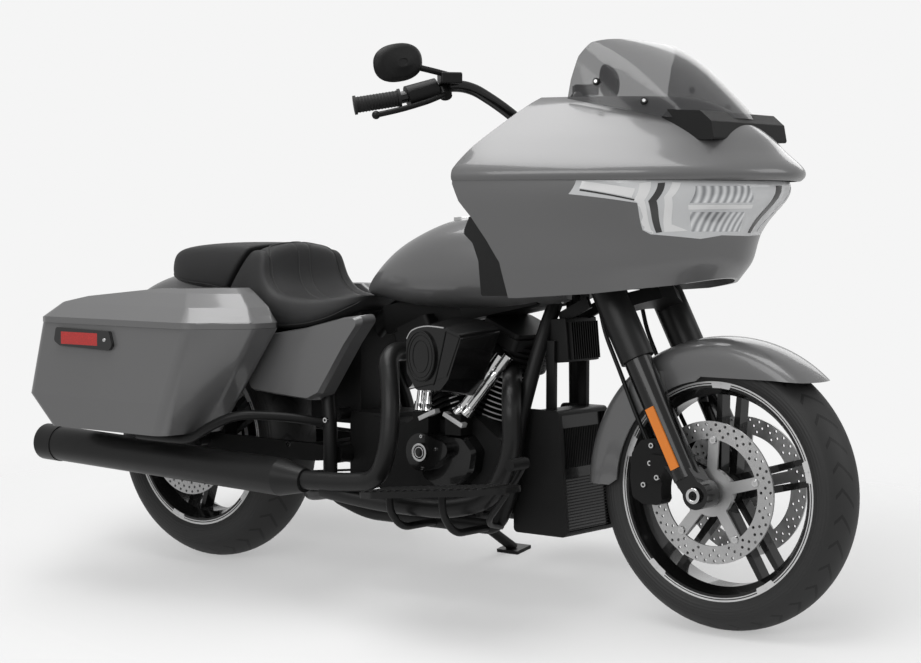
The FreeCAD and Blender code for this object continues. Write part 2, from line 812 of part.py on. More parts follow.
def swingarm():
    low_z = rear_axle.z - arm_drop
    tube_end = across * (cradle_half_span - post_radius)
    pivot = Vector(pivot_x, 0, pivot_z)
    shape = rod(pivot - tube_end, pivot + tube_end, arm_tube_radius)
    pieces = []
    for side in (-1, 1):
        low = min(side * arm_inner_y, side * arm_outer_y)
        pieces.append(slab(placed(arm_shares, 0, pivot_x, low_z, arm_height), low, low + arm_outer_y - arm_inner_y))
    pieces.append(slab(placed(arm_brace_shares, 0, pivot_x, low_z, arm_height), -arm_inner_y, arm_inner_y))
    web_half_width = arm_inner_y * 2 / 3
    pieces.append(slab(placed(arm_web_shares, 0, pivot_x, low_z, arm_height), -web_half_width, web_half_width))
    shape = joined(shape, *pieces)
    return without(shape, disc(0, rear_axle.z, rear_axle_radius, -cradle_half_span, cradle_half_span))


rear_axle_overhang = 46.0


def rear_axle_bar():
    end = across * (rail_half_span + rear_axle_overhang)
    return rod(rear_axle - end, rear_axle + end, rear_axle_radius - running_gap)


shock_y = 166.0
shock_radius = 17.0
shock_can_radius = 27.0
shock_pin_radius = 9.0
shock_eye_radius = 19.0
shock_eye_half_width = 14.0
shock_foot = Vector(110.0, 0, 342.0)
shock_rise = 284.3
shock_run = 70.0
shock_can_share = 0.35


def rear_shocks():
    """A damper on each side, pinned to the swingarm and to the frame's rail."""
    foot = shock_foot - across * shock_y
    top = foot + Vector(shock_run, 0, shock_rise)
    run = top - foot
    pieces = [rod(foot + run * shock_can_share, foot + run * (1 - shock_can_share / 3), shock_can_radius)]
    for end, inner_y in ((foot, arm_outer_y), (top, rail_half_span)):
        low_y = end.y - shock_eye_half_width
        pieces.append(disc(end.x, end.z, shock_eye_radius, low_y, end.y + shock_eye_half_width))
        pieces.append(disc(end.x, end.z, shock_pin_radius, low_y - shock_pin_radius, shock_pin_radius / 2 - inner_y))
    return both_sides(joined(rod(foot, top, shock_radius), *pieces))


# Engine

deck_reach = 128.0
head_reach = 272.0
rocker_reach = 345.0
rocker_height = 29.0
rocker_length = 124.0
rocker_width = 192.0
rocker_fillet = 12.0
case_length = 320.0
case_height = 226.0
case_right_y = 112.0
case_left_y = 118.0
gear_right_y = 96.0
gear_left_y = 88.0
gear_length = 156.0
gear_height = 204.0
cylinder_fin_count = 11
head_fin_count = 5
head_fin_pitch = 14.0
head_fin_overhang = 12.0
port_reach = 300.0
port_radius = 30.0
lifter_half_width = 24.0
lifter_y = 158.0
lifter_low_z = 408.0
lifter_height = 50.0
lifter_offset = 50.0
barrel_inset = 16.0
engine_case_shares = [
    (0.0, 0.062), (0.188, 0.0), (0.844, 0.0), (0.975, 0.195), (0.994, 0.549), (0.906, 0.779),
    (0.672, 1.0), (0.422, 0.912), (0.172, 1.0), (0.0, 0.858),
]
gear_case_shares = [
    (0.0, 0.461), (0.192, 0.176), (0.449, 0.069), (0.897, 0.0), (0.994, 0.069), (0.994, 0.951),
    (0.128, 1.0), (0.0, 0.853),
]
case_setback = 135.0
gear_setback = 285.0
case_low_z = crank_z - 99.0


def cylinder_point(side, along, y=0):
    """A place along a cylinder's axis: side 1 leans forward, side -1 leans back."""
    lean = math.radians(cylinder_angle)
    return Vector(crank_x + side * along * math.sin(lean), y, crank_z + along * math.cos(lean))


def engine_cases():
    crank_case = plate(placed(engine_case_shares, crank_x - case_setback, case_length, case_low_z, case_height),
                       -case_right_y, case_left_y, rocker_fillet)
    gear_case = plate(placed(gear_case_shares, crank_x - gear_setback, gear_length, case_low_z, gear_height),
                      -gear_right_y, gear_left_y, rocker_fillet)
    pieces = [gear_case]
    for side in (-1, 1):
        pieces.append(rod(cylinder_point(side, deck_reach / 3), cylinder_point(side, deck_reach), fin_radius))
        x = crank_x + lifter_offset * side
        low = Vector(x - lifter_half_width, -lifter_y, lifter_low_z)
        high = Vector(x + lifter_half_width, rocker_fillet - case_right_y, lifter_low_z + lifter_height)
        pieces.append(block(low, high))
    return joined(crank_case, *pieces)


def engine_cylinders():
    shapes = []
    pitch = (head_reach - deck_reach) / cylinder_fin_count
    for side in (-1, 1):
        barrel = rod(cylinder_point(side, deck_reach), cylinder_point(side, head_reach), fin_radius - barrel_inset)
        fins = []
        for index in range(cylinder_fin_count):
            start = deck_reach + (index + 0.3) * pitch
            fins.append(rod(cylinder_point(side, start), cylinder_point(side, start + pitch * 0.42), fin_radius))
        shapes.append(joined(barrel, *fins))
    return Part.makeCompound(shapes)


def rocker_box(side, inset, low, height):
    """A cover on a head, along the bike's width."""
    box = block(Vector(inset - rocker_length / 2, inset - rocker_width / 2, low),
                Vector(rocker_length / 2 - inset, rocker_width / 2 - inset, low + height))
    box = box.makeFillet(rocker_fillet, [edge for edge in box.Edges if abs(edge.Vertexes[0].Z - edge.Vertexes[1].Z) > inset])
    box.rotate(origin, across, side * cylinder_angle)
    box.translate(cylinder_point(side, rocker_reach))
    return box


def cylinder_heads():
    shapes = []
    for side in (-1, 1):
        base = rod(cylinder_point(side, head_reach), cylinder_point(side, rocker_reach), fin_radius)
        pieces = []
        for index in range(head_fin_count):
            start = head_reach + head_fin_pitch / 2 + index * head_fin_pitch
            pieces.append(rod(cylinder_point(side, start), cylinder_point(side, start + head_fin_pitch / 2),
                              fin_radius + head_fin_overhang))
        pieces.append(rocker_box(side, 0, -rocker_fillet, rocker_height))
        pieces.append(rocker_box(side, rocker_fillet / 2, rocker_height - rocker_fillet, rocker_fillet))
        pieces.append(rod(cylinder_point(side, port_reach), cylinder_point(side, port_reach, -case_right_y), port_radius))
        shapes.append(joined(base, *pieces))
    return Part.makeCompound(shapes)


pushrod_radius = 10.5
pushrod_foot_radius = 14.0
pushrod_cap_radius = 13.0
pushrod_low_z = 458.0
pushrod_y = 136.0
pushrod_top_y = 104.0
pushrod_foot_offset = 60.0
pushrod_lead = 50.0
pushrod_spread = 12.0
pushrod_foot_length = 22.0
pushrod_cap_length = 40.0


def pushrod_tubes():
    """Two covers on each cylinder, joined to their blocks by caps."""
    shapes = []
    for side in (-1, 1):
        for offset in (-pushrod_spread, pushrod_spread):
            low = Vector(crank_x + side * (pushrod_foot_offset + offset), -pushrod_y, pushrod_low_z)
            high = cylinder_point(side, port_reach, -pushrod_top_y) + forward * (pushrod_lead + side * offset)
            way = (high - low).normalize()
            foot = rod(low, low + way * pushrod_foot_length, pushrod_foot_radius)
            cap = rod(high - way * pushrod_cap_length, high, pushrod_cap_radius)
            shapes.append(joined(rod(low, high, pushrod_radius), foot, cap))
    return joined(shapes[0], *shapes[1:])


cam_cover_y = 150.0
cam_cover_low_z = 262.0
cam_cover_height = 150.0
cam_cover_setback = 85.0
cam_cover_length = 200.0
cam_cover_shares = [
    (0.08, 0.453), (0.15, 0.2), (0.425, 0.04), (0.725, 0.12), (0.94, 0.4), (0.99, 0.733),
    (0.825, 0.973), (0.425, 1.0), (0.13, 0.947), (0.01, 0.693),
]
timing_radius = 46.0
timing_share = [(0.24, 0.667)]
timing_tip_share = [(0.55, 0.733)]
timing_tip_radius = 20.0
timing_depth = 24.0


def cam_cover():
    """The gear cover, with the timing cover on it: a round that runs out to a point."""
    x = crank_x - cam_cover_setback
    points = placed(cam_cover_shares, x, cam_cover_length, cam_cover_low_z, cam_cover_height)
    base = cushioned(points, -case_right_y, -cam_cover_y, timing_tip_radius, 0.12)
    round_x, round_z = placed(timing_share, x, cam_cover_length, cam_cover_low_z, cam_cover_height)[0]
    tip_x, tip_z = placed(timing_tip_share, x, cam_cover_length, cam_cover_low_z, cam_cover_height)[0]
    reach = math.hypot(tip_x - round_x, tip_z - round_z)
    slope = math.atan2(tip_z - round_z, tip_x - round_x)
    swing = math.acos((timing_radius - timing_tip_radius) / reach)
    outline = []
    for centre_x, centre_z, radius, turn in ((round_x, round_z, timing_radius, slope + swing),
                                             (tip_x, tip_z, timing_tip_radius, slope + swing),
                                             (tip_x, tip_z, timing_tip_radius, slope - swing),
                                             (round_x, round_z, timing_radius, slope - swing)):
        outline.append((centre_x + radius * math.cos(turn), centre_z + radius * math.sin(turn)))
    face_y = -cam_cover_y - timing_depth
    body = joined(disc(round_x, round_z, timing_radius, face_y, -cam_cover_y),
                  disc(tip_x, tip_z, timing_tip_radius, face_y, -cam_cover_y), slab(outline, face_y, -cam_cover_y))
    boss = disc(round_x, round_z, timing_radius / 2, face_y - timing_depth / 4, face_y)
    return joined(base, body, boss)


primary_front_radius = 115.0
primary_rear_radius = 88.0
primary_rear_setback = 221.0
primary_depth = 50.0
primary_cap_depth = 18.0
derby_radius = 60.0
derby_depth = 8.0


def primary_cover():
    """The chain case on the left: two rounds joined, with a smaller step on it."""
    def level(share, y_low, y_high):
        front = disc(crank_x, crank_z, primary_front_radius * share, y_low, y_high)
        rear = disc(crank_x - primary_rear_setback, crank_z, primary_rear_radius * share, y_low, y_high)
        between = slab([(crank_x, crank_z - primary_front_radius * share), (crank_x, crank_z + primary_front_radius * share),
                        (crank_x - primary_rear_setback, crank_z + primary_rear_radius * share),
                        (crank_x - primary_rear_setback, crank_z - primary_rear_radius * share)], y_low, y_high)
        return joined(front, rear, between)
    cap_y = case_left_y + primary_depth
    derby_y = cap_y + primary_cap_depth
    derby = disc(crank_x - primary_rear_setback, crank_z, derby_radius, derby_y, derby_y + derby_depth)
    return joined(level(1.0, case_left_y, cap_y), level(0.9, cap_y, derby_y), derby)


cleaner_rear_x = crank_x - 55.0
cleaner_low_z = crank_z + 173.0
cleaner_length = 230.0
cleaner_height = 190.0
cleaner_back_y = 132.0
cleaner_face_y = 236.0
cleaner_fillet = 14.0
cleaner_oval_width = 88.0
cleaner_oval_height = 122.0
cleaner_oval_depth = 6.0
throat_radius = 42.0
cleaner_back_shares = [
    (0.026, 0.247), (0.009, 0.747), (0.104, 0.937), (0.391, 1.011), (0.704, 1.0), (1.0, 0.895),
    (0.783, 0.247), (0.635, 0.026), (0.174, 0.011),
]
cleaner_face_shares = [
    (0.113, 0.326), (0.104, 0.716), (0.183, 0.853), (0.374, 0.916), (0.622, 0.905), (0.843, 0.816),
    (0.665, 0.263), (0.557, 0.121), (0.239, 0.111),
]
cleaner_oval_share = [(0.322, 0.537)]
throat_share = [(0.239, 0.484)]


def air_cleaner():
    """A wedge on the right of the engine with a raised oval on its face."""
    wires = []
    for shares, y in ((cleaner_back_shares, -cleaner_back_y), (cleaner_face_shares, -cleaner_face_y)):
        wires.append(side_wire(placed(shares, cleaner_rear_x, cleaner_length, cleaner_low_z, cleaner_height), y,
                               cleaner_fillet))
    body = Part.makeLoft(wires, True, True)
    oval_x, oval_z = placed(cleaner_oval_share, cleaner_rear_x, cleaner_length, cleaner_low_z, cleaner_height)[0]
    oval_face_y = -cleaner_face_y - cleaner_oval_depth
    ellipse = Part.Ellipse(Vector(oval_x, oval_face_y, oval_z + cleaner_oval_height / 2),
                           Vector(oval_x + cleaner_oval_width / 2, oval_face_y, oval_z), Vector(oval_x, oval_face_y, oval_z))
    oval = Part.Face(Part.Wire(ellipse.toShape())).extrude(Vector(0, 2 * cleaner_oval_depth, 0))
    throat_x, throat_z = placed(throat_share, cleaner_rear_x, cleaner_length, cleaner_low_z, cleaner_height)[0]
    throat = rod(Vector(throat_x, 0, throat_z), Vector(throat_x, -cleaner_back_y, throat_z), throat_radius)
    return joined(body, oval, throat)


exhaust_radius = 23.0
exhaust_reach = Vector(485.0, 292.0, 362.0)
exhaust_low_z = 238.0
rear_header_shares = [
    (0.858, 0.842, 0.724), (0.87, 0.897, 0.392), (0.808, 0.918, 0.16), (0.608, 0.959, 0.133),
    (0.367, 1.0, 0.127),
]
front_header_shares = [
    (1.291, 0.137, 0.906), (1.402, 0.397, 0.848), (1.501, 0.623, 0.724), (1.509, 0.616, 0.392),
    (1.402, 0.658, 0.083), (1.175, 0.747, 0.0), (0.784, 0.815, 0.006), (0.454, 0.932, 0.072),
]
cross_pipe_shares = [
    (0.495, 0.918, 0.066), (0.32, 0.822, 0.022), (0.173, 0.582, 0.0), (0.173, -0.651, 0.0),
    (0.124, -0.897, 0.039), (0.0, -1.0, 0.127),
]
port_turn_y = 210.0


def exhaust_pipes():
    base = Vector(crank_x - exhaust_reach.x, 0, exhaust_low_z)
    rear_start = [cylinder_point(-1, port_reach, -case_right_y - running_gap), cylinder_point(-1, port_reach, -port_turn_y)]
    rear = bent_tube(rear_start + routed(rear_header_shares, base, exhaust_reach, -1), exhaust_radius)
    front = bent_tube(routed(front_header_shares, base, exhaust_reach, -1), exhaust_radius)
    cross = bent_tube(routed(cross_pipe_shares, base, exhaust_reach, -1), exhaust_radius * 0.9)
    return joined(rear, front, cross)


muffler_tip_x = -366.0
muffler_cap_length = 62.0
muffler_bore_length = 140.0
muffler_low_z = 285.0
muffler_rise = 26.0
muffler_wall = 4.0
muffler_neck_radius = 30.0
right_muffler_setback = 385.0
left_muffler_setback = 485.0
right_neck_length = 78.0
left_neck_length = 20.0


def muffler_tip(side):
    return Vector(muffler_tip_x, side * muffler_y, muffler_low_z + muffler_rise)


def muffler(side):
    setback = right_muffler_setback if side < 0 else left_muffler_setback
    neck_length = right_neck_length if side < 0 else left_neck_length
    body_start = Vector(crank_x - setback, side * muffler_y, muffler_low_z)
    tip = muffler_tip(side)
    length = (tip - body_start).Length
    cap = length - muffler_cap_length
    bore_radius = muffler_radius - muffler_wall
    lip_radius = muffler_radius + muffler_wall / 2
    profile = [(-neck_length, 0), (-neck_length, muffler_neck_radius), (0, muffler_radius), (cap, muffler_radius),
               (cap, lip_radius), (length, lip_radius), (length, bore_radius), (length - muffler_bore_length, bore_radius),
               (length - muffler_bore_length, 0)]
    return turned(body_start, tip, profile)


radiator_half_width = 100.0
radiator_front_x = crank_x + 320.0
radiator_low_z = 182.0
radiator_height = 296.0
radiator_depth = 130.0
radiator_slope = 26.0
radiator_frame = 12.0
radiator_core_depth = 40.0
radiator_recess = 10.0


def radiator_block(inset, front_inset, depth):
    """The cooler's sloping front, its foot further forward than its top."""
    low_z = radiator_low_z + inset
    high_z = radiator_low_z + radiator_height - inset
    front_x = radiator_front_x - front_inset
    points = [(front_x + radiator_slope, low_z), (front_x, high_z), (front_x - depth, high_z), (front_x - depth, low_z)]
    return slab(points, inset - radiator_half_width, radiator_half_width - inset)


def radiator():
    return radiator_block(radiator_frame, radiator_recess, radiator_core_depth)


def radiator_shroud():
    shell = radiator_block(0, 0, radiator_depth)
    shell = shell.makeFillet(radiator_frame, [edge for edge in shell.Edges if abs(edge.tangentAt(edge.FirstParameter).y) > 0.9])
    front_room = radiator_block(radiator_frame, -radiator_frame, radiator_core_depth + radiator_recess + radiator_frame)
    back_room = block(Vector(radiator_front_x - 2 * radiator_depth, radiator_frame - radiator_half_width,
                             radiator_low_z + radiator_frame),
                      Vector(radiator_front_x - radiator_core_depth - 2 * radiator_recess,
                             radiator_half_width - radiator_frame, radiator_low_z + 2 * radiator_height))
    return without(shell, front_room, back_room)


# Tank, seat and covers

tank_rows_share = [
    (0.0, 0.13, 0.174, 0.155, 0.9), (0.047, 0.104, 0.27, 0.417, 0.85),
    (0.123, 0.078, 0.443, 0.643, 0.8), (0.224, 0.035, 0.661, 0.81, 0.78),
    (0.344, 0.009, 0.83, 0.94, 0.76), (0.478, 0.0, 0.961, 1.0, 0.76), (0.628, 0.0, 1.017, 0.988, 0.76),
    (0.785, 0.017, 0.991, 0.893, 0.78), (0.912, 0.061, 0.874, 0.762, 0.82),
    (1.0, 0.122, 0.73, 0.595, 0.85),
]
tunnel_half_width = 36.0
tunnel_shares = [(-0.066, -0.452), (0.186, 0.087), (0.896, 0.496), (1.132, 0.635), (1.132, -0.452)]
cap_radius = 34.0
cap_depth = 60.0
cap_share = [(0.525, -0.31, 0.93)]


def tank_body():
    return hoops(tank_rows_share, tank_rear_x, tank_length, tank_low_z, tank_height, tank_half_width)


def cap_place():
    along, wide, up = cap_share[0]
    return Vector(tank_rear_x + along * tank_length, wide * tank_half_width, tank_low_z + up * tank_height)


def fuel_tank():
    tunnel = slab(placed(tunnel_shares, tank_rear_x, tank_length, tank_low_z, tank_height),
                  -tunnel_half_width, tunnel_half_width)
    well = post(cap_place() - upward * cap_depth, cap_radius, cap_depth * 2)
    return without(tank_body(), tunnel, well)


def fuel_cap():
    return post(cap_place() - upward * cap_depth, cap_radius - running_gap, cap_depth + cap_radius / 3)


rear_fender_radius = 455.0
rear_fender_half_width = 99.0
rear_fender_skirt = 105.0
rear_fender_wall = 4.0
rear_fender_turn_angle = 124.0
rear_fender_start_angle = 52.0
seat_parting_run = 62.0
seat_parting_lean = 92.0
seat_rows_share = [
    (-0.129, 0.233, 0.948, 0.806, 0.7), (0.032, 0.121, 0.983, 0.914, 0.7),
    (0.247, 0.034, 0.966, 0.978, 0.68), (0.435, 0.009, 0.871, 1.0, 0.66),
    (0.597, 0.017, 0.603, 0.989, 0.64), (0.745, 0.06, 0.466, 0.903, 0.66),
    (0.866, 0.147, 0.435, 0.753, 0.7), (0.946, 0.233, 0.435, 0.602, 0.75),
    (0.989, 0.302, 0.414, 0.43, 0.8),
]
pad_rows_share = [
    (-1.0, 0.586, 0.707, 0.495, 0.8), (-0.927, 0.5, 0.845, 0.688, 0.7),
    (-0.727, 0.457, 0.935, 0.817, 0.66), (-0.393, 0.44, 0.97, 0.849, 0.64),
    (-0.127, 0.379, 0.974, 0.849, 0.66), (0.173, 0.341, 0.974, 0.849, 0.66),
]


def fender_room():
    half = rear_fender_half_width + running_gap * 2
    return disc(0, rear_axle.z, rear_fender_radius, -half, half)


def seat_parting(gap):
    """Everything behind the sloping line where the pad meets the seat."""
    low_x = seat_rear_x - seat_parting_run / 2 + gap
    high_z = seat_base_z + 2 * seat_height
    slope = seat_parting_run / seat_parting_lean
    high_x = low_x + (high_z - seat_base_z - seat_parting_lean) * slope
    low_z = seat_base_z - seat_height
    foot_x = low_x - (seat_base_z + seat_parting_lean - low_z) * slope
    points = [(foot_x, low_z), (high_x, high_z), (high_x - seat_length - pad_length, high_z),
              (foot_x - seat_length - pad_length, low_z)]
    return slab(points, -seat_half_width - overrun, seat_half_width + overrun)


def rider_seat():
    body = hoops(seat_rows_share, seat_rear_x, seat_length, seat_base_z, seat_height, seat_half_width)
    return largest(without(body, fender_room(), seat_parting(running_gap)))


def passenger_seat():
    body = hoops(pad_rows_share, seat_rear_x, pad_length, seat_base_z, seat_height, seat_half_width)
    return largest(without(body, fender_room()).common(seat_parting(-running_gap)))


side_cover_length = 494.0
side_cover_height = 236.0
side_cover_low_z = 463.0
side_cover_rear_x = pivot_x - 312.0
side_cover_back_y = 150.0
side_cover_face_y = 208.0
side_cover_fillet = 20.0
side_cover_shares = [
    (0.211, 0.699), (0.105, 0.085), (0.318, 0.047), (0.563, 0.013), (0.644, 0.089), (0.834, 0.657),
    (0.96, 0.979), (0.794, 0.936), (0.52, 0.801),
]


def side_covers():
    points = placed(side_cover_shares, side_cover_rear_x, side_cover_length, side_cover_low_z, side_cover_height)
    return both_sides(cushioned(points, -side_cover_back_y, -side_cover_face_y, side_cover_fillet, 0.08))


def rear_fender():
    skirt_radius = rear_fender_radius - rear_fender_skirt
    outer = [(skirt_radius + up * rear_fender_skirt, wide * rear_fender_half_width) for up, wide in fender_crown_shares]
    return crown(outer, rear_fender_wall, rear_axle, rear_fender_turn_angle, rear_fender_start_angle)


lamp_radius = 46.0
lamp_depth = 34.0
lamp_lift = 232.0
lamp_setback = 402.0


def tail_lamp():
    return Part.makeCylinder(lamp_radius, lamp_depth, Vector(-lamp_setback, 0, rear_axle.z + lamp_lift), Vector(-1, 0, 0.2))


# Saddlebags

bag_corner = 34.0
bag_knee_share = 0.3
bag_base_shares = [(0.116, 0.0), (0.112, 0.956), (0.703, 0.987), (0.725, 0.356), (0.725, 0.0)]
bag_knee_shares = [(0.005, 0.0), (0.003, 0.987), (0.739, 1.0), (0.807, 0.373), (0.807, 0.0)]
bag_seam_shares = [(0.075, 0.0), (0.075, 0.991), (0.838, 1.0), (0.997, 0.444), (0.997, 0.0)]


def bag_level(shares, z, inset, side, inner_inset):
    """One level of a bag: shares of its length and width, drawn in by an inset."""
    corners = []
    x_middle = bag_rear_x + bag_length / 2
    for along_share, wide_share in shares:
        x = bag_rear_x + along_share * bag_length
        x -= math.copysign(inset, x - x_middle)
        y = bag_inner_y + wide_share * bag_width
        y += inner_inset if wide_share == 0 else -inset * wide_share
        corners.append(Vector(x, side * y, z))
    return rounded(corners, bag_corner - min(inset, bag_corner / 2))


def saddlebag_shell(side):
    knee_z = bag_base_z + bag_height * bag_knee_share
    outer = Part.makeLoft([bag_level(bag_base_shares, bag_base_z, 0, side, 0), bag_level(bag_knee_shares, knee_z, 0, side, 0),
                           bag_level(bag_seam_shares, bag_seam_z, 0, side, 0)], True, True)
    inner = Part.makeLoft([bag_level(bag_base_shares, bag_base_z + bag_wall, bag_wall, side, bag_wall),
                           bag_level(bag_knee_shares, knee_z, bag_wall, side, bag_wall),
                           bag_level(bag_seam_shares, bag_seam_z + running_gap, bag_wall, side, bag_wall)], True, True)
    return without(outer, inner)


lid_skirt = 16.0
lid_overhang = 4.0
lid_rows_share = [(0.0, 0.0), (0.16, 0.0), (0.52, 0.40), (0.86, 0.80), (1.0, 1.0)]
lid_draw = 112.0
lid_roof_shares = [
    (-0.067, 0.184), (0.05, 0.224), (0.124, 0.51), (0.246, 0.714), (0.554, 0.959), (0.839, 1.01),
    (1.144, 1.01), (1.144, 2.551), (-0.067, 2.551),
]


def bag_lid(side):
    """A sloping lid whose top falls away to the rear."""
    def levels(inset, drop):
        wires = []
        for up_share, draw_share in lid_rows_share:
            z = bag_seam_z + running_gap + up_share * (lid_height - drop)
            wires.append(bag_level(bag_seam_shares, z, draw_share * lid_draw - lid_overhang + inset, side, inset))
        return Part.makeLoft(wires, True, True)
    roof = slab(placed(lid_roof_shares, bag_rear_x, bag_length, bag_seam_z, lid_height), -bag_outer_y * 2, bag_outer_y * 2)
    under_roof = roof.copy()
    under_roof.translate(Vector(0, 0, -bag_wall))
    outer = largest(without(levels(0, 0), roof))
    inner = without(levels(bag_wall, bag_wall), under_roof)
    inner.translate(Vector(0, 0, -running_gap))
    return largest(without(outer, inner))


reflector_shares = [
    (0.178, 0.832), (0.189, 0.963), (0.467, 0.949), (0.483, 0.817), (0.464, 0.766), (0.208, 0.788),
]
reflector_depth = 9.0


def bag_reflectors():
    points = placed(reflector_shares, bag_rear_x, bag_length, bag_base_z, bag_height)
    strip = plate(points, -bag_outer_y - reflector_depth, reflector_depth - bag_outer_y, reflector_depth)
    return both_sides(without(strip, saddlebag_shell(-1), bag_inside(-1)))


def bag_inside(side):
    low = Vector(bag_rear_x, min(side * bag_inner_y, side * (bag_outer_y - bag_wall)), bag_base_z)
    return block(low, low + Vector(bag_length, bag_width - bag_wall, bag_height))


guard_radius = 12.0
guard_shares = [
    (1.133, 0.364, 0.128), (1.03, 0.568, 0.194), (0.924, 0.745, 0.216), (0.818, 0.795, 0.084),
    (0.731, 0.8, -0.051), (0.586, 0.8, -0.055), (0.464, 0.784, -0.055),
]


def bag_guard(side):
    """The tube that runs from the frame back under a bag."""
    reach = Vector(bag_length, bag_outer_y, bag_height)
    return bent_tube(routed(guard_shares, Vector(bag_rear_x, 0, bag_base_z), reach, side), guard_radius)


# Fairing

fairing_point_share = 1.08
lip_share = 0.587
lower_rows_share = [
    (-0.107, 0.597, 0.795), (0.0, 0.672, 0.825), (0.104, 0.719, 0.863), (0.182, 0.761, 0.89),
    (0.267, 0.779, 0.915), (0.427, 0.845, 0.96), (0.587, 0.899, 0.99),
]
upper_rows_share = [
    (0.587, 0.943, 0.995), (0.622, 0.963, 1.002), (0.693, 0.925, 0.955), (0.782, 0.86, 0.855),
    (0.882, 0.769, 0.725), (0.96, 0.669, 0.615), (1.009, 0.567, 0.52),
]
fairing_floor_shares = [
    (-0.209, 0.0), (0.179, 0.004), (0.418, 0.031), (0.627, 0.073), (0.746, 0.116), (1.075, 0.227),
    (1.075, -0.329), (-0.209, -0.329),
]
fairing_rear_shares = [
    (0.173, 1.138), (0.149, 1.0), (0.039, 0.76), (0.004, 0.64), (0.001, 0.569), (0.021, 0.484),
    (0.063, 0.404), (0.107, 0.293), (0.143, 0.182), (0.152, -0.107), (-0.209, -0.107), (-0.209, 1.138),
]


def fairing_block(inset):
    """The outside of the fairing, in two bodies that meet at the lip, drawn in by an inset."""
    rear = fairing_rear_x - overrun - inset
    bodies = []
    for rows in (lower_rows_share, upper_rows_share):
        wires = []
        for up, nose, wide in rows:
            wires.append(bow(fairing_low_z + up * fairing_height, rear, fairing_rear_x + nose * fairing_length - inset,
                             wide * fairing_half_width - inset, fairing_point_share))
        bodies.append(Part.makeLoft(wires, True, False))
    return bodies[0].fuse(bodies[1])


lamp_half_width = 335.0
lamp_low_z = fairing_low_z + 136.0
lamp_height = 127.0
lamp_shares = [
    (0.0, 0.047), (0.245, 0.063), (0.379, 0.0), (0.642, 0.079), (0.684, 0.15), (0.782, 0.614),
    (1.0, 0.764), (0.988, 1.0), (0.0, 1.0),
]
lamp_shell = 40.0
lamp_start_share = 0.358


def lamp_prism(inset=0.0):
    right = [(-wide * lamp_half_width, up * lamp_height) for wide, up in lamp_shares]
    left = [(wide * lamp_half_width, up * lamp_height) for wide, up in reversed(lamp_shares[1:-1])]
    x = fairing_rear_x + lamp_start_share * fairing_length
    corners = [Vector(x, y, lamp_low_z + z) for y, z in right + left]
    return Part.Face(Part.makePolygon(corners + corners[:1])).extrude(Vector(fairing_length, 0, 0))


def headlamp(outside):
    return largest(outside.common(lamp_prism()).cut(fairing_block(lamp_shell)))


def steering_room():
    """The space that the fork covers and the upper clamp sweep from lock to lock."""
    step_count = 8
    base = steer_point(lower_clamp_z)
    room = []
    for index in range(step_count + 1):
        turn = steering_lock_angle * (2 * index / step_count - 1)
        for side in (-1, 1):
            low = fork_point(slider_top_z, side)
            high = fork_point(cover_top_z, side)
            way = (high - low).normalize()
            leg = rod(low, high + way * moving_gap, cover_radius + moving_gap)
            leg.rotate(base, steer_direction, turn)
            room.append(leg)
    middle = steer_point(upper_clamp_z)
    reach = math.hypot(fork_half_span, fork_point(upper_clamp_z).x - middle.x + cover_radius) + moving_gap
    half = clamp_thickness / 2 + moving_gap
    room.append(rod(middle - steer_direction * half, middle + steer_direction * half, reach))
    riser_reach = 2 * riser_half_span + moving_gap
    room.append(rod(middle, middle + steer_direction * 2 * riser_half_span, riser_reach))
    return room


def fairing_cutters():
    span = fairing_half_width + fairing_length
    return [slab(placed(shares, fairing_rear_x, fairing_length, fairing_low_z, fairing_height), -span, span)
            for shares in (fairing_floor_shares, fairing_rear_shares)]


def fairing(outside):
    skin = outside.cut([fairing_block(fairing_wall), lamp_prism()] + fairing_cutters())
    return largest(skin.cut(steering_room()))


dash_wall = 10.0
dash_shares = [
    (0.227, 1.018), (0.242, 1.018), (0.257, 0.707), (0.352, 0.516), (0.442, 0.489), (0.442, 0.304),
    (0.427, 0.304), (0.427, 0.471), (0.34, 0.498), (0.239, 0.693),
]


def inner_fairing():
    """The dash panel behind the fairing, open where the forks swing."""
    span = fairing_half_width + fairing_length
    panel = slab(placed(dash_shares, fairing_rear_x, fairing_length, fairing_low_z, fairing_height), -span, span)
    inside = fairing_block(fairing_wall).cut(fairing_cutters()[0])
    return largest(inside.common(panel).cut(steering_room()))


gauge_radius = 52.0
small_gauge_radius = 30.0
speaker_radius = 46.0
gauge_depth = 34.0
gauge_places_share = [(0.24, 0.155, 0.849), (0.24, 0.365, 0.827), (0.24, 0.565, 0.733)]


def gauge_panel():
    """Two large gauges, two small ones and two speakers on the rider's side of the dash."""
    shapes = []
    for (along, wide, up), radius in zip(gauge_places_share, (gauge_radius, small_gauge_radius, speaker_radius)):
        x = fairing_rear_x + along * fairing_length
        for side in (-1, 1):
            centre = Vector(x, side * wide * fairing_half_width, fairing_low_z + up * fairing_height)
            shapes.append(rod(centre, centre - forward * gauge_depth, radius))
    return Part.makeCompound(shapes)


bracket_radius = 15.0
bracket_shares = [(0.507, 0.0, 0.244), (0.657, 0.0, 0.293), (0.782, 0.0, 0.404)]


def fairing_bracket():
    """The stay from the steering head to the inside of the fairing's nose."""
    start = steer_point((head_low_z + head_high_z) / 2) + forward * (head_radius - running_gap * 6)
    reach = Vector(fairing_length, fairing_half_width, fairing_height)
    return bent_tube([start] + routed(bracket_shares, Vector(fairing_rear_x, 0, fairing_low_z), reach), bracket_radius)


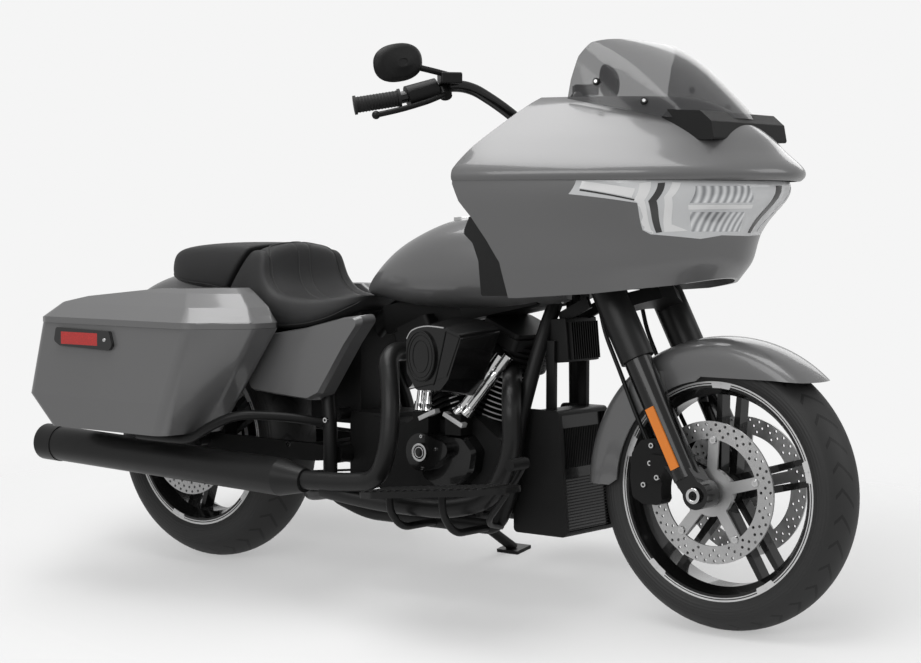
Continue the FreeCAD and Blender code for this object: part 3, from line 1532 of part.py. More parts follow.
trim_y = 252.0
trim_thickness = 8.0
trim_turn_angle = 21.0
trim_hinge_share = -0.034
trim_shares = [
    (-0.157, 0.322), (-0.119, 0.404), (-0.054, 0.427), (0.224, 0.449), (0.284, 0.182), (0.284, 0.018),
    (-0.034, 0.002), (-0.054, 0.182), (-0.093, 0.271),
]


def fairing_trim(shell):
    """The black flap on each side between tank and fairing."""
    points = placed(trim_shares, fairing_rear_x, fairing_length, fairing_low_z, fairing_height)
    flap = plate(points, -trim_y - trim_thickness / 2, trim_thickness / 2 - trim_y, trim_thickness)
    hinge = Vector(fairing_rear_x + trim_hinge_share * fairing_length, -trim_y, fairing_low_z)
    flap.rotate(hinge, upward, -trim_turn_angle)
    return both_sides(largest(flap.cut(shell)))


screen_wall = 5.0
screen_half_width = 206.0
screen_point_share = 0.82
screen_rows_share = [
    (0.0, 1.094, 1.029), (0.191, 0.961, 1.019), (0.424, 0.794, 1.005), (0.614, 0.65, 0.985),
    (0.788, 0.5, 0.961), (0.915, 0.356, 0.932), (1.008, 0.183, 0.893),
]
screen_window_shares = [
    (0.011, 0.407), (0.028, 0.593), (0.067, 0.805), (0.128, 0.941), (0.228, 1.004), (0.894, 1.271),
    (1.172, 0.297), (0.894, 0.195), (0.672, 0.212),
]
screen_low_z = fairing_low_z + 352.0
screen_height = 236.0
screen_length = 360.0
screen_rear_x = fairing_rear_x + 178.0


def screen_block(inset):
    wires = [bow(screen_low_z + up * screen_height, screen_rear_x - inset - overrun,
                 screen_rear_x + nose * screen_length - inset, wide * screen_half_width - inset, screen_point_share)
             for up, nose, wide in screen_rows_share]
    return Part.makeLoft(wires, True, False)


def windshield(outside):
    skin = screen_block(0).cut(screen_block(screen_wall))
    window = slab(placed(screen_window_shares, screen_rear_x, screen_length, screen_low_z, screen_height),
                  -screen_half_width * 2, screen_half_width * 2)
    return largest(skin.common(window).cut(outside))


vent_half_width = 158.0
vent_shares = [
    (0.617, 0.212), (0.661, 0.288), (0.894, 0.267), (0.972, 0.169), (0.994, 0.0), (0.617, 0.0),
]


def air_vent(outside, screen):
    """The duct between the windshield's lower edge and the fairing."""
    duct = plate(placed(vent_shares, screen_rear_x, screen_length, screen_low_z, screen_height),
                 -vent_half_width, vent_half_width, screen_wall)
    return largest(duct.cut([outside, screen]))


# Rider's controls and fittings

board_rear_x = crank_x - 69.0
board_length = 426.0
board_inner_y = 258.0
board_width = 134.0
board_thickness = 14.0
board_rear_z = 268.0
board_slope_angle = 6.0
board_corner = 30.0
board_shares = [
    (0.0, 0.03), (0.0, 0.836), (0.15, 1.0), (0.808, 1.0), (1.0, 0.761), (1.0, 0.164), (0.854, 0.0),
]
board_arm_shares = [0.103, 0.479]
board_arm_radius = 9.0
pedal_radius = 7.0
pedal_pad_radius = 14.0
pedal_pad_length = 60.0


def board_lift(x):
    return (x - board_rear_x) * math.tan(math.radians(board_slope_angle))


def footboards():
    corners = [Vector(board_rear_x + along * board_length, -board_inner_y - wide * board_width, board_rear_z)
               for along, wide in board_shares]
    board = Part.Face(rounded(corners, board_corner)).extrude(Vector(0, 0, board_thickness))
    board.rotate(Vector(board_rear_x, 0, board_rear_z), across, -board_slope_angle)
    arms = []
    for share in board_arm_shares:
        x = board_rear_x + share * board_length
        top = board_rear_z + board_lift(x) + board_thickness / 2
        foot_y = -board_inner_y - board_width / 3
        arms.append(bent_tube([Vector(x, -rail_half_span, rail_z), Vector(x, -board_inner_y, rail_z),
                               Vector(x, foot_y, (rail_z + top) / 2), Vector(x, foot_y, top)], board_arm_radius))
    return both_sides(joined(board, *arms))


pedal_shares = [
    (0.554, 0.457, -0.552), (0.61, 0.814, -0.403), (0.761, 0.915, 0.03), (0.892, 0.938, 0.537),
    (0.948, 0.969, 0.776),
]


def foot_controls():
    """A brake pedal on the right and a shift lever on the left, each on a lower frame rail."""
    shapes = []
    reach = Vector(board_length, board_inner_y, board_width)
    for side in (-1, 1):
        points = routed(pedal_shares, Vector(board_rear_x, 0, board_rear_z), reach, side)
        pad_end = points[-1] + across * side * pedal_pad_length
        shapes.append(joined(bent_tube(points, pedal_radius), rod(points[-1], pad_end, pedal_pad_radius)))
    return Part.makeCompound(shapes)


pulley_setback = 265.0
pulley_radius = 42.0
belt_thickness = 5.0


def drive_belt():
    pulley_x = crank_x - pulley_setback
    wheel_radius = sprocket_radius + running_gap
    low = belt_y - belt_width / 2
    high = belt_y + belt_width / 2
    reach = math.hypot(pulley_x, crank_z - rear_axle.z)
    tilt = math.asin((wheel_radius - pulley_radius) / reach)

    def band(grow):
        rear = wheel_radius + grow
        front = pulley_radius + grow
        rear_x = rear * math.sin(tilt)
        front_x = pulley_x + front * math.sin(tilt)
        body = slab([(rear_x, rear_axle.z + rear * math.cos(tilt)), (front_x, crank_z + front * math.cos(tilt)),
                     (front_x, crank_z - front * math.cos(tilt)), (rear_x, rear_axle.z - rear * math.cos(tilt))], low, high)
        return body.fuse([disc(0, rear_axle.z, rear, low, high), disc(pulley_x, crank_z, front, low, high)])
    return band(belt_thickness).cut(band(0))


def belt_pulley():
    return disc(crank_x - pulley_setback, crank_z, pulley_radius - running_gap, gear_left_y, belt_y + belt_width / 2)


rear_caliper_length = 101.0
rear_caliper_height = 122.0
rear_caliper_x = 64.0
rear_caliper_lift = 20.4
rear_caliper_shares = [(0.0, 0.426), (0.0, 1.0), (0.752, 1.0), (1.0, 0.59), (1.0, 0.0), (0.475, 0.0)]


def rear_caliper():
    points = placed(rear_caliper_shares, rear_caliper_x, rear_caliper_length, rear_axle.z + rear_caliper_lift,
                    rear_caliper_height)
    body = slab(points, -rear_disc_y - 4 * caliper_clearance, 2 * caliper_clearance - rear_disc_y)
    slot = disc(0, rear_axle.z, rear_disc_radius + caliper_clearance, -rear_disc_y - caliper_clearance,
                caliper_clearance - rear_disc_y)
    return without(body, slot)


# Side stand, sized so that its foot meets the ground when the bike leans on it

stand_setback = 185.0
stand_y = 157.0
stand_foot_x = crank_x - 123.0
stand_foot_y = 322.0
stand_radius = 13.0
stand_eye_radius = 20.0
stand_eye_width = 22.0
stand_pin_radius = 9.0
stand_pad_half_length = 34.0
stand_pad_half_width = 30.0
stand_pad_thickness = 9.0
stand_bow = 10.0
stand_lug_radius = 22.0
stand_pivot = Vector(crank_x - stand_setback, stand_y, rail_z)


def stance():
    """The lean and the small nose-up or nose-down turn that put both tyres on the ground."""
    lean = FreeCAD.Rotation(forward, -lean_angle)
    drops = []
    for centre, radius, half_width, rim_radius, rim_half_width in (
            (front_axle, front_tyre_radius, front_tyre_half_width, front_rim_radius, front_rim_half_width),
            (rear_axle, rear_tyre_radius, rear_tyre_half_width, rear_rim_radius, rear_rim_half_width)):
        shape = tyre(centre, radius, half_width, rim_radius, rim_half_width)
        shape.Placement = FreeCAD.Placement(origin, lean)
        drops.append(shape.optimalBoundingBox(False).ZMin)
    pitch = math.degrees(math.atan((drops[0] - drops[1]) / wheelbase))
    turn = FreeCAD.Rotation(across, pitch).multiply(lean)
    rest = FreeCAD.Placement(Vector(0, 0, 0), turn)
    shape = tyre(rear_axle, rear_tyre_radius, rear_tyre_half_width, rear_rim_radius, rear_rim_half_width)
    shape.Placement = rest
    rest.Base = Vector(0, 0, -shape.optimalBoundingBox(False).ZMin)
    return rest


def side_stand(rest):
    top = rest.multVec(stand_pivot)
    foot = Vector(stand_foot_x, stand_foot_y, 0)
    way = (foot - top).normalize()
    knee = top + (foot - top) * 0.55 + Vector(0, stand_bow, -stand_bow * 0.8)
    ankle = foot + upward * stand_pad_thickness * 0.8
    leg = bent_tube([top + way * stand_eye_radius * 0.8, knee, ankle], stand_radius, 0.3)
    pad = block(foot - Vector(stand_pad_half_length, stand_pad_half_width, 0),
                foot + Vector(stand_pad_half_length, stand_pad_half_width, stand_pad_thickness))
    axis = rest.Rotation.multVec(across)
    eye = rod(top - axis * stand_eye_width / 2, top + axis * stand_eye_width / 2, stand_eye_radius)
    shape = joined(leg, pad, eye)
    ground = Vector(stand_foot_y, stand_foot_y, 0)
    below = block(foot - ground - upward * stand_foot_y, foot + ground)
    pin = rod(top - axis * stand_eye_width * 2, top + axis * stand_eye_width * 2, stand_pin_radius + running_gap)
    return without(shape, below, pin)


def stand_bracket():
    half = stand_eye_width / 2
    foot = Vector(stand_pivot.x, rail_half_span, stand_pivot.z)
    lug = rod(foot, stand_pivot - across * (half + running_gap), stand_lug_radius)
    pin = rod(foot, stand_pivot + across * (half + stand_pin_radius / 2), stand_pin_radius)
    return joined(lug, pin)


rest = stance()
outside = fairing_block(0)
shell = fairing(outside)
screen = windshield(outside)

upright = {
    "frame": frame(),
    "swingarm": swingarm(),
    "rear_axle": rear_axle_bar(),
    "rear_shocks": rear_shocks(),
    "engine_cases": engine_cases(),
    "engine_cylinders": engine_cylinders(),
    "cylinder_heads": cylinder_heads(),
    "pushrod_tubes": pushrod_tubes(),
    "cam_cover": cam_cover(),
    "primary_cover": primary_cover(),
    "air_cleaner": air_cleaner(),
    "exhaust_pipes": exhaust_pipes(),
    "muffler_right": muffler(-1),
    "muffler_left": muffler(1),
    "radiator": radiator(),
    "radiator_shroud": radiator_shroud(),
    "fuel_tank": fuel_tank(),
    "fuel_cap": fuel_cap(),
    "rider_seat": rider_seat(),
    "passenger_seat": passenger_seat(),
    "side_covers": side_covers(),
    "rear_fender": rear_fender(),
    "tail_lamp": tail_lamp(),
    "saddlebag_right": saddlebag_shell(-1),
    "saddlebag_left": saddlebag_shell(1),
    "lid_right": bag_lid(-1),
    "lid_left": bag_lid(1),
    "bag_reflectors": bag_reflectors(),
    "fairing": shell,
    "inner_fairing": inner_fairing(),
    "gauge_panel": gauge_panel(),
    "fairing_bracket": fairing_bracket(),
    "fairing_trim": fairing_trim(shell),
    "headlamp": headlamp(outside),
    "windshield": screen,
    "air_vent": air_vent(outside, screen),
    "footboards": footboards(),
    "foot_controls": foot_controls(),
    "drive_belt": drive_belt(),
    "belt_pulley": belt_pulley(),
    "rear_caliper": rear_caliper(),
    "fork_sliders": fork_sliders(),
    "fork_covers": fork_covers(),
    "fork_reflectors": fork_reflectors(),
    "steering_stem": steering_stem(),
    "handlebar": handlebar(),
    "grips": grips(),
    "hand_controls": hand_controls(),
    "mirrors": mirrors(),
    "front_fender": front_fender(),
    "front_calipers": front_calipers(),
    "front_axle": front_axle_bar(),
    "front_tyre": tyre(front_axle, front_tyre_radius, front_tyre_half_width, front_rim_radius, front_rim_half_width),
    "front_rim": front_rim(),
    "front_discs": front_discs(),
    "rear_tyre": tyre(rear_axle, rear_tyre_radius, rear_tyre_half_width, rear_rim_radius, rear_rim_half_width),
    "rear_rim": rear_rim(),
    "rear_disc": rear_disc(),
    "rear_sprocket": rear_sprocket(),
}

gives_way = {
    "frame": ["engine_cases"],
    "engine_cylinders": ["engine_cases"],
    "cylinder_heads": ["engine_cylinders"],
    "pushrod_tubes": ["engine_cases", "cylinder_heads"],
    "cam_cover": ["engine_cases"],
    "primary_cover": ["engine_cases"],
    "exhaust_pipes": ["cylinder_heads", "engine_cylinders", "muffler_right", "muffler_left"],
    "fuel_tank": ["frame"],
    "rider_seat": ["frame", "fuel_tank"],
    "side_covers": ["frame"],
    "rear_fender": ["frame"],
    "tail_lamp": ["rear_fender"],
    "rear_shocks": ["frame", "swingarm"],
    "radiator_shroud": ["frame"],
    "fairing_bracket": ["frame", "fairing", "headlamp", "inner_fairing"],
    "gauge_panel": ["inner_fairing"],
    "footboards": ["frame"],
    "foot_controls": ["frame"],
    "rear_caliper": ["swingarm"],
    "air_cleaner": ["cylinder_heads", "engine_cylinders", "pushrod_tubes", "exhaust_pipes"],
    "steering_stem": ["handlebar"],
    "fairing_trim": ["fairing"],
    "front_calipers": ["fork_sliders", "steering_stem"],
    "front_fender": ["fork_sliders"],
    "mirrors": ["handlebar"],
    "grips": ["handlebar"],
    "inner_fairing": ["headlamp"],
    "front_tyre": ["front_rim"],
    "rear_tyre": ["rear_rim"],
}

for name, others in gives_way.items():
    upright[name] = without(upright[name], *[upright[other] for other in others])
for name in ("exhaust_pipes", "fairing_bracket"):
    upright[name] = largest(upright[name])

leaning = {}
for name, shape in upright.items():
    standing = shape.copy()
    standing.Placement = rest.multiply(standing.Placement)
    leaning[name] = standing
leaning["side_stand"] = side_stand(rest)

whole = FreeCAD.BoundBox()
for shape in leaning.values():
    whole.add(shape.optimalBoundingBox(False))
shift = Vector(-whole.Center.x, -whole.Center.y, -whole.ZMin)

os.makedirs("parts", exist_ok=True)
for name, shape in leaning.items():
    shape.translate(shift)
    shape.exportStep("parts/" + name + ".step")
print("size", whole.XLength, whole.YLength, whole.ZLength, "shift", shift)
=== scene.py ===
import bpy
import bmesh
import json
import math
from mathutils import Matrix, Vector, noise
from mathutils.bvhtree import BVHTree


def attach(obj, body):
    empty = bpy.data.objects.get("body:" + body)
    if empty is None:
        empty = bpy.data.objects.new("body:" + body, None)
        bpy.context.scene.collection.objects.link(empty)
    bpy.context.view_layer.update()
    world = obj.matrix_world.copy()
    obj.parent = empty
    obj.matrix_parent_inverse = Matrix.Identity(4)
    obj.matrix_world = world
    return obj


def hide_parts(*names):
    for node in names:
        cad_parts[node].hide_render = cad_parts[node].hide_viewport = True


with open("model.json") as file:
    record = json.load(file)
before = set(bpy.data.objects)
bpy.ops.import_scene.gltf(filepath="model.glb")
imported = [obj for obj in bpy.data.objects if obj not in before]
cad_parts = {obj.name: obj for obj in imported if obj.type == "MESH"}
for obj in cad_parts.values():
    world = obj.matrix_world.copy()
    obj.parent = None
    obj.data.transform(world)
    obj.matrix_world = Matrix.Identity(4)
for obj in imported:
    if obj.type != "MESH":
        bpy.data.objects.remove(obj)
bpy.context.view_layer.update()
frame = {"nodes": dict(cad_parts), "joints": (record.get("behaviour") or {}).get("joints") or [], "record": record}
nodes = frame["nodes"]
scene = bpy.context.scene
collection = scene.collection
joints = {joint["name"]: joint for joint in frame["joints"]}
print("frame loaded", len(nodes), "nodes")

# Upright bike space: origin under the rear axle, x forward, y left, z up, in millimetres
stance = {"rearAxleHeight": 327.6, "frontAxleHeight": 319.3, "wheelbase": 1625.0}
frontAxle = (stance["wheelbase"], 0.0, stance["frontAxleHeight"])
rearAxle = (0.0, 0.0, stance["rearAxleHeight"])


def makeLean():
    acrossAxis = Vector(joints["rear_wheel_spin"]["axis"]).normalized()
    rear = Vector(joints["rear_wheel_spin"]["pos_m"])
    front = Vector(joints["front_wheel_spin"]["pos_m"])
    run = (front - rear).normalized()
    drop = math.atan((stance["rearAxleHeight"] - stance["frontAxleHeight"]) / stance["wheelbase"])
    forwardAxis = Matrix.Rotation(-drop, 3, acrossAxis) @ run
    upAxis = forwardAxis.cross(acrossAxis)
    turn = Matrix((forwardAxis, acrossAxis, upAxis)).transposed().to_4x4()
    origin = rear - upAxis * stance["rearAxleHeight"] / 1000
    return Matrix.Translation(origin) @ turn @ Matrix.Scale(0.001, 4)


lean = makeLean()


def bike(x, y, z):
    return lean @ Vector((x, y, z))


# Camera, fitted to the photograph
view = {"place": (4007.9, -3964.2, 935.3), "right": (0.78225, 0.62296, 0.00285), "up": (-0.03772, 0.04278, 0.99837),
        "lens": 79.95}


def makeCamera():
    data = bpy.data.cameras.new("camera")
    data.lens = view["lens"]
    data.sensor_width = 36.0
    data.clip_start = 0.05
    data.clip_end = 100.0
    cameraObject = bpy.data.objects.new("camera", data)
    collection.objects.link(cameraObject)
    turn = lean.to_3x3().normalized()
    right = (turn @ Vector(view["right"])).normalized()
    up = (turn @ Vector(view["up"])).normalized()
    back = right.cross(up).normalized()
    up = back.cross(right)
    placed = Matrix((right, up, back)).transposed().to_4x4()
    placed.translation = bike(*view["place"])
    cameraObject.matrix_world = placed
    scene.camera = cameraObject


makeCamera()
print("camera ready")


# Shader maths
class Value:
    def __init__(self, board, socket):
        self.board = board
        self.socket = socket

    def maths(self, operation, *parts):
        inputs = {index: part for index, part in enumerate(parts)}
        return self.board.value("ShaderNodeMath", {"operation": operation}, inputs)

    def __add__(self, other): return self.maths("ADD", self, other)
    def __radd__(self, other): return self.maths("ADD", other, self)
    def __sub__(self, other): return self.maths("SUBTRACT", self, other)
    def __rsub__(self, other): return self.maths("SUBTRACT", other, self)
    def __mul__(self, other): return self.maths("MULTIPLY", self, other)
    def __rmul__(self, other): return self.maths("MULTIPLY", other, self)
    def __truediv__(self, other): return self.maths("DIVIDE", self, other)
    def __rtruediv__(self, other): return self.maths("DIVIDE", other, self)
    def __gt__(self, other): return self.maths("GREATER_THAN", self, other)
    def __lt__(self, other): return self.maths("LESS_THAN", self, other)
    def __abs__(self): return self.maths("ABSOLUTE", self)
    def power(self, other): return self.maths("POWER", self, other)
    def least(self, other): return self.maths("MINIMUM", self, other)
    def most(self, other): return self.maths("MAXIMUM", self, other)
    def fraction(self): return self.maths("FRACT", self)
    def sine(self): return self.maths("SINE", self)


class Board:
    def __init__(self, name):
        self.material = bpy.data.materials.new(name)
        self.material.use_nodes = True
        self.tree = self.material.node_tree
        self.tree.nodes.clear()
        self.output = self.tree.nodes.new("ShaderNodeOutputMaterial")

    def node(self, kind, settings=None, inputs=None):
        made = self.tree.nodes.new(kind)
        for key, setting in (settings or {}).items():
            setattr(made, key, setting)
        for key, part in (inputs or {}).items():
            socket = made.inputs[key]
            if isinstance(part, Value):
                self.tree.links.new(part.socket, socket)
            elif isinstance(part, bpy.types.NodeSocket):
                self.tree.links.new(part, socket)
            else:
                socket.default_value = part
        return made

    def value(self, kind, settings=None, inputs=None, output=0):
        return Value(self, self.node(kind, settings, inputs).outputs[output])

    def place(self, scale=(1, 1, 1)):
        coordinates = self.node("ShaderNodeTexCoord").outputs["Object"]
        return self.node("ShaderNodeMapping", {}, {"Vector": coordinates, "Scale": scale}).outputs[0]

    def upright(self, centre):  # x, y and z in metres from a point of the upright bike
        turned = self.node("ShaderNodeMapping", {"vector_type": "TEXTURE"}, {
            "Vector": self.node("ShaderNodeTexCoord").outputs["Object"], "Location": tuple(bike(*centre)),
            "Rotation": tuple(lean.to_3x3().normalized().to_euler())})
        apart = self.node("ShaderNodeSeparateXYZ", {}, {0: turned.outputs[0]})
        return [Value(self, apart.outputs[index]) for index in range(3)]

    def polar(self, centre):  # radius, turn and place across a wheel
        x, y, z = self.upright(centre)
        return (x * x + z * z).power(0.5), z.maths("ARCTAN2", z, x), y

    def grain(self, scale, detail=3.0):
        return self.value("ShaderNodeTexNoise", {}, {"Vector": self.place(), "Scale": scale, "Detail": detail})

    def cells(self, scale, **settings):
        return self.value("ShaderNodeTexVoronoi", settings, {"Vector": self.place(), "Scale": scale})

    def blend(self, factor, first, second):
        made = self.node("ShaderNodeMix", {"data_type": "RGBA"}, {"Factor": factor})
        for index, part in ((6, first), (7, second)):
            if isinstance(part, bpy.types.NodeSocket):
                self.tree.links.new(part, made.inputs[index])
            else:
                made.inputs[index].default_value = (*part, 1.0)
        return made.outputs[2]

    def bump(self, height, distance):
        return self.node("ShaderNodeBump", {}, {"Height": height, "Distance": distance, "Strength": 1.0}).outputs[0]

    def finish(self, **inputs):
        named = {key.replace("_", " "): part for key, part in inputs.items()}
        for key, part in list(named.items()):
            if isinstance(part, tuple) and len(part) == 3:
                named[key] = (*part, 1.0)
        shader = self.node("ShaderNodeBsdfPrincipled", {}, named)
        self.tree.links.new(shader.outputs[0], self.output.inputs[0])
        return self.material


def grey(level):
    return (level,) * 3


paint = {"deep": (0.132, 0.132, 0.133), "pale": (0.148, 0.148, 0.149), "rough": 0.36, "metallic": 0.30, "coat": 0.8}


def panelPaint():
    board = Board("panelPaint")
    cloud = board.grain(3.0)
    peel = board.grain(260.0, 1.0)
    return board.finish(Base_Color=board.blend(cloud, paint["deep"], paint["pale"]), Roughness=cloud * 0.06 + paint["rough"],
                        Metallic=paint["metallic"], Coat_Weight=paint["coat"], Coat_Roughness=0.10,
                        Normal=board.bump(peel, 0.00006))


def blackPaint(name, level, rough, coat=0.0, shine=0.3):
    board = Board(name)
    cloud = board.grain(14.0, 4.0)
    peel = board.grain(420.0, 2.0)
    colour = board.blend(cloud, grey(level * 0.8), grey(level * 1.25))
    return board.finish(Base_Color=colour, Roughness=cloud * 0.08 + (rough - 0.04), Specular_IOR_Level=shine,
                        Coat_Weight=coat, Coat_Roughness=0.05, Normal=board.bump(peel, 0.00008))


def wrinkleBlack():
    board = Board("wrinkleBlack")
    grain = board.grain(900.0, 3.0)
    cloud = board.grain(9.0)
    colour = board.blend(cloud, grey(0.0035), grey(0.007))
    return board.finish(Base_Color=colour, Roughness=grain * 0.15 + 0.42, Specular_IOR_Level=0.22,
                        Normal=board.bump(grain, 0.0003))


def brightMetal(name, level, rough, metallic=1.0):
    board = Board(name)
    cloud = board.grain(22.0, 4.0)
    colour = board.blend(cloud, grey(level * 0.94), grey(level))
    return board.finish(Base_Color=colour, Metallic=metallic, Roughness=cloud * 0.06 + rough)


def rubber(name, level=0.022, rough=0.62):
    board = Board(name)
    grain = board.grain(700.0, 3.0)
    cloud = board.grain(8.0, 4.0)
    colour = board.blend(cloud, grey(level * 0.8), grey(level * 1.3))
    return board.finish(Base_Color=colour, Roughness=cloud * 0.12 + rough, Specular_IOR_Level=0.3,
                        Normal=board.bump(grain, 0.00015))


def grainedPlastic():
    board = Board("grainedPlastic")
    cells = board.cells(900.0)
    cloud = board.grain(10.0)
    colour = board.blend(cloud, grey(0.004), grey(0.008))
    return board.finish(Base_Color=colour, Roughness=cloud * 0.08 + 0.42, Specular_IOR_Level=0.25,
                        Normal=board.bump(cells, 0.0002))


def seatVinyl():
    board = Board("seatVinyl")
    cells = board.cells(420.0, feature="DISTANCE_TO_EDGE")
    soft = board.grain(30.0, 4.0)
    crease = cells.least(0.12) * 6.0
    colour = board.blend(soft, grey(0.010), (0.018, 0.018, 0.019))
    return board.finish(Base_Color=colour, Roughness=soft * 0.12 + 0.46, Normal=board.bump(crease + soft, 0.00035))


def lens(name, colour, rough, alpha, coat=0.8):
    board = Board(name)
    cloud = board.grain(30.0)
    shade = board.blend(cloud, tuple(part * 0.92 for part in colour), colour)
    return board.finish(Base_Color=shade, Roughness=cloud * 0.04 + rough, Coat_Weight=coat, Coat_Roughness=0.03, Alpha=alpha)


tread = {"blocks": 34, "grooveHalf": 0.085, "hookAt": 0.60, "hookReach": 1.45, "from": 0.12, "to": 0.80, "ribsFrom": 0.93,
         "wall": 48.0, "depth": 0.005}


def tyreTread(name, centre, halfWidth):  # the tyre's radius is its axle's height
    board = Board(name)
    reach, turn, across = board.polar(centre)
    side = abs(across) / (halfWidth / 1000)
    hook = abs(side - tread["hookAt"]) * tread["hookReach"]
    cell = (turn * (tread["blocks"] / (2 * math.pi)) + hook + (across > 0.0) * 0.5).fraction()
    crown = (side > tread["from"]) * (side < tread["to"]) * (reach > (centre[2] - tread["wall"]) / 1000)
    # groove mask: the tread grooves, used for their bump and for painted shade in them
    grooveAndShade = (abs(cell - 0.5) < tread["grooveHalf"]) * crown
    ribs = (reach * 900.0).sine() * (side > tread["ribsFrom"])
    grain = board.grain(700.0, 3.0)
    cloud = board.grain(8.0, 4.0)
    # grooves painted near black (grey 0.001): painted shade in the grooves, besides their bump
    colour = board.blend(grooveAndShade, board.blend(cloud, grey(0.011), grey(0.019)), grey(0.001))
    height = grain * 0.03 + ribs * 0.05 - grooveAndShade
    return board.finish(Base_Color=colour, Roughness=cloud * 0.12 + 0.50, Normal=board.bump(height, tread["depth"]))


discHoles = {"radius": 0.0033,  # metres, and rings of (radius, count, offset)
             "front": ((0.153, 40, 0.0), (0.141, 40, 0.5), (0.129, 20, 0.25)),
             "rear": ((0.143, 40, 0.0), (0.131, 40, 0.5), (0.119, 20, 0.25))}


def drilledDisc(name, centre, rings):
    board = Board(name)
    reach, turn, _ = board.polar(centre)
    hole = None
    for radius, count, offset in rings:
        part = (turn * (count / (2 * math.pi)) + offset).fraction() - 0.5
        along = part * (2 * math.pi * radius / count)
        gap = reach - radius
        one = (along * along + gap * gap) < discHoles["radius"] ** 2
        hole = one if hole is None else hole.most(one)
    cloud = board.grain(26.0, 3.0)
    return board.finish(Base_Color=board.blend(cloud, grey(0.50), grey(0.58)), Metallic=0.85, Roughness=cloud * 0.06 + 0.32,
                        Alpha=1.0 - hole, Normal=board.bump((reach * 5200.0).sine(), 0.00003))


reflector = {"centre": (-52.0, 0.0, 613.0), "halfLength": 0.070, "halfHeight": 0.016, "dotX": 46.0}


def sideReflector():
    board = Board("sideReflector")
    x, _, z = board.upright(reflector["centre"])
    red = (abs(x) < reflector["halfLength"]) * (abs(z) < reflector["halfHeight"])
    prism = board.cells(260.0)
    colour = board.blend(red, grey(0.004), board.blend(prism, (0.34, 0.010, 0.008), (0.55, 0.016, 0.012)))
    return board.finish(Base_Color=colour, Roughness=prism * 0.08 + 0.16, Coat_Weight=0.6, Coat_Roughness=0.04)


def lampRibsPaintedReflection():
    board = Board("lampRibsPaintedReflection")
    wave = board.value("ShaderNodeTexWave", {"bands_direction": "Y"},
                       {"Vector": board.place(), "Scale": 22.0, "Distortion": 0.4})
    # bright and dark stripes in the colour: painted reflections on the reflector's ribs
    colour = board.blend(wave, (0.30, 0.31, 0.32), (0.82, 0.83, 0.84))
    return board.finish(Base_Color=colour, Roughness=wave * 0.1 + 0.16, Metallic=0.5, Coat_Weight=1.0, Coat_Roughness=0.02)


finishes = {
    "panelPaint": panelPaint(),
    "blackGloss": blackPaint("blackGloss", 0.004, 0.24, 0.5),
    "blackSatin": blackPaint("blackSatin", 0.006, 0.40, 0.0, 0.25),
    "pipeBlack": blackPaint("pipeBlack", 0.012, 0.34),
    "wrinkleBlack": wrinkleBlack(),
    "chrome": brightMetal("chrome", 0.86, 0.06),
    "machined": brightMetal("machined", 0.72, 0.24),
    "machinedPale": brightMetal("machinedPale", 0.70, 0.34, 0.35),
    "discSteel": brightMetal("discSteel", 0.60, 0.30),
    "tyreRubber": rubber("tyreRubber", 0.017, 0.60),
    "frontTread": tyreTread("frontTread", frontAxle, 65.0),
    "rearTread": tyreTread("rearTread", rearAxle, 90.0),
    "frontDrilled": drilledDisc("frontDrilled", frontAxle, discHoles["front"]),
    "rearDrilled": drilledDisc("rearDrilled", rearAxle, discHoles["rear"]),
    "sideReflector": sideReflector(),
    "threadGrey": rubber("threadGrey", 0.085, 0.60),
    "weltVinyl": rubber("weltVinyl", 0.020, 0.42),
    "lampDark": blackPaint("lampDark", 0.030, 0.14, 1.0),
    "lampWhite": lens("lampWhite", (0.86, 0.86, 0.86), 0.14, 1.0),
    "lampRibsPaintedReflection": lampRibsPaintedReflection(),
    "mirrorFace": brightMetal("mirrorFace", 0.80, 0.015),
    "blackRubber": rubber("blackRubber", 0.014, 0.55),
    "grainedPlastic": grainedPlastic(),
    "seatVinyl": seatVinyl(),
    "clearLens": lens("clearLens", (0.86, 0.87, 0.88), 0.06, 0.75),
    "smokeScreen": lens("smokeScreen", (0.05, 0.05, 0.052), 0.10, 0.55, 0.15),
    "amberLens": lens("amberLens", (0.80, 0.22, 0.012), 0.12, 1.0),
    "redLens": lens("redLens", (0.42, 0.012, 0.012), 0.10, 1.0),
}
slotFinish = {"panel_paint": "panelPaint", "black_gloss": "blackGloss", "black_satin": "blackSatin",
              "engine_black": "wrinkleBlack", "machined": "machined", "black_alloy": "blackGloss", "chrome": "chrome",
              "disc_steel": "discSteel", "tyre_rubber": "tyreRubber", "black_rubber": "blackRubber",
              "black_plastic": "grainedPlastic", "seat_vinyl": "seatVinyl", "clear_lens": "clearLens",
              "smoke_screen": "smokeScreen", "amber_lens": "amberLens", "red_lens": "redLens"}
ownFinish = {"front_tyre": "frontTread", "rear_tyre": "rearTread", "front_discs": "frontDrilled",
             "rear_disc": "rearDrilled", "fork_sliders": "blackGloss", "handlebar": "blackGloss",
             "exhaust_pipes": "pipeBlack", "muffler_right": "pipeBlack", "muffler_left": "pipeBlack",
             "fork_covers": "pipeBlack", "bag_reflectors": "sideReflector"}


def dressNodes():
    slots = {piece["node"]: piece["material_slot"] for piece in frame["record"]["subparts"]}
    for name, piece in nodes.items():
        finish = finishes[ownFinish.get(name, slotFinish[slots[name]])]
        for index in range(len(piece.material_slots)):
            piece.material_slots[index].material = finish


dressNodes()
print("nodes dressed")


# Mesh helpers, all in bike millimetres
def bikeMatrix(centre, xAxis, zAxis):
    x = Vector(xAxis).normalized()
    z = (Vector(zAxis) - x * x.dot(Vector(zAxis))).normalized()
    turned = Matrix((x, z.cross(x), z)).transposed().to_4x4()
    turned.translation = Vector(centre)
    return turned


def addPart(form, part, place=None):
    if place is not None:
        part.transform(place)
    mesh = bpy.data.meshes.new("part")
    part.to_mesh(mesh)
    part.free()
    form.from_mesh(mesh)
    bpy.data.meshes.remove(mesh)


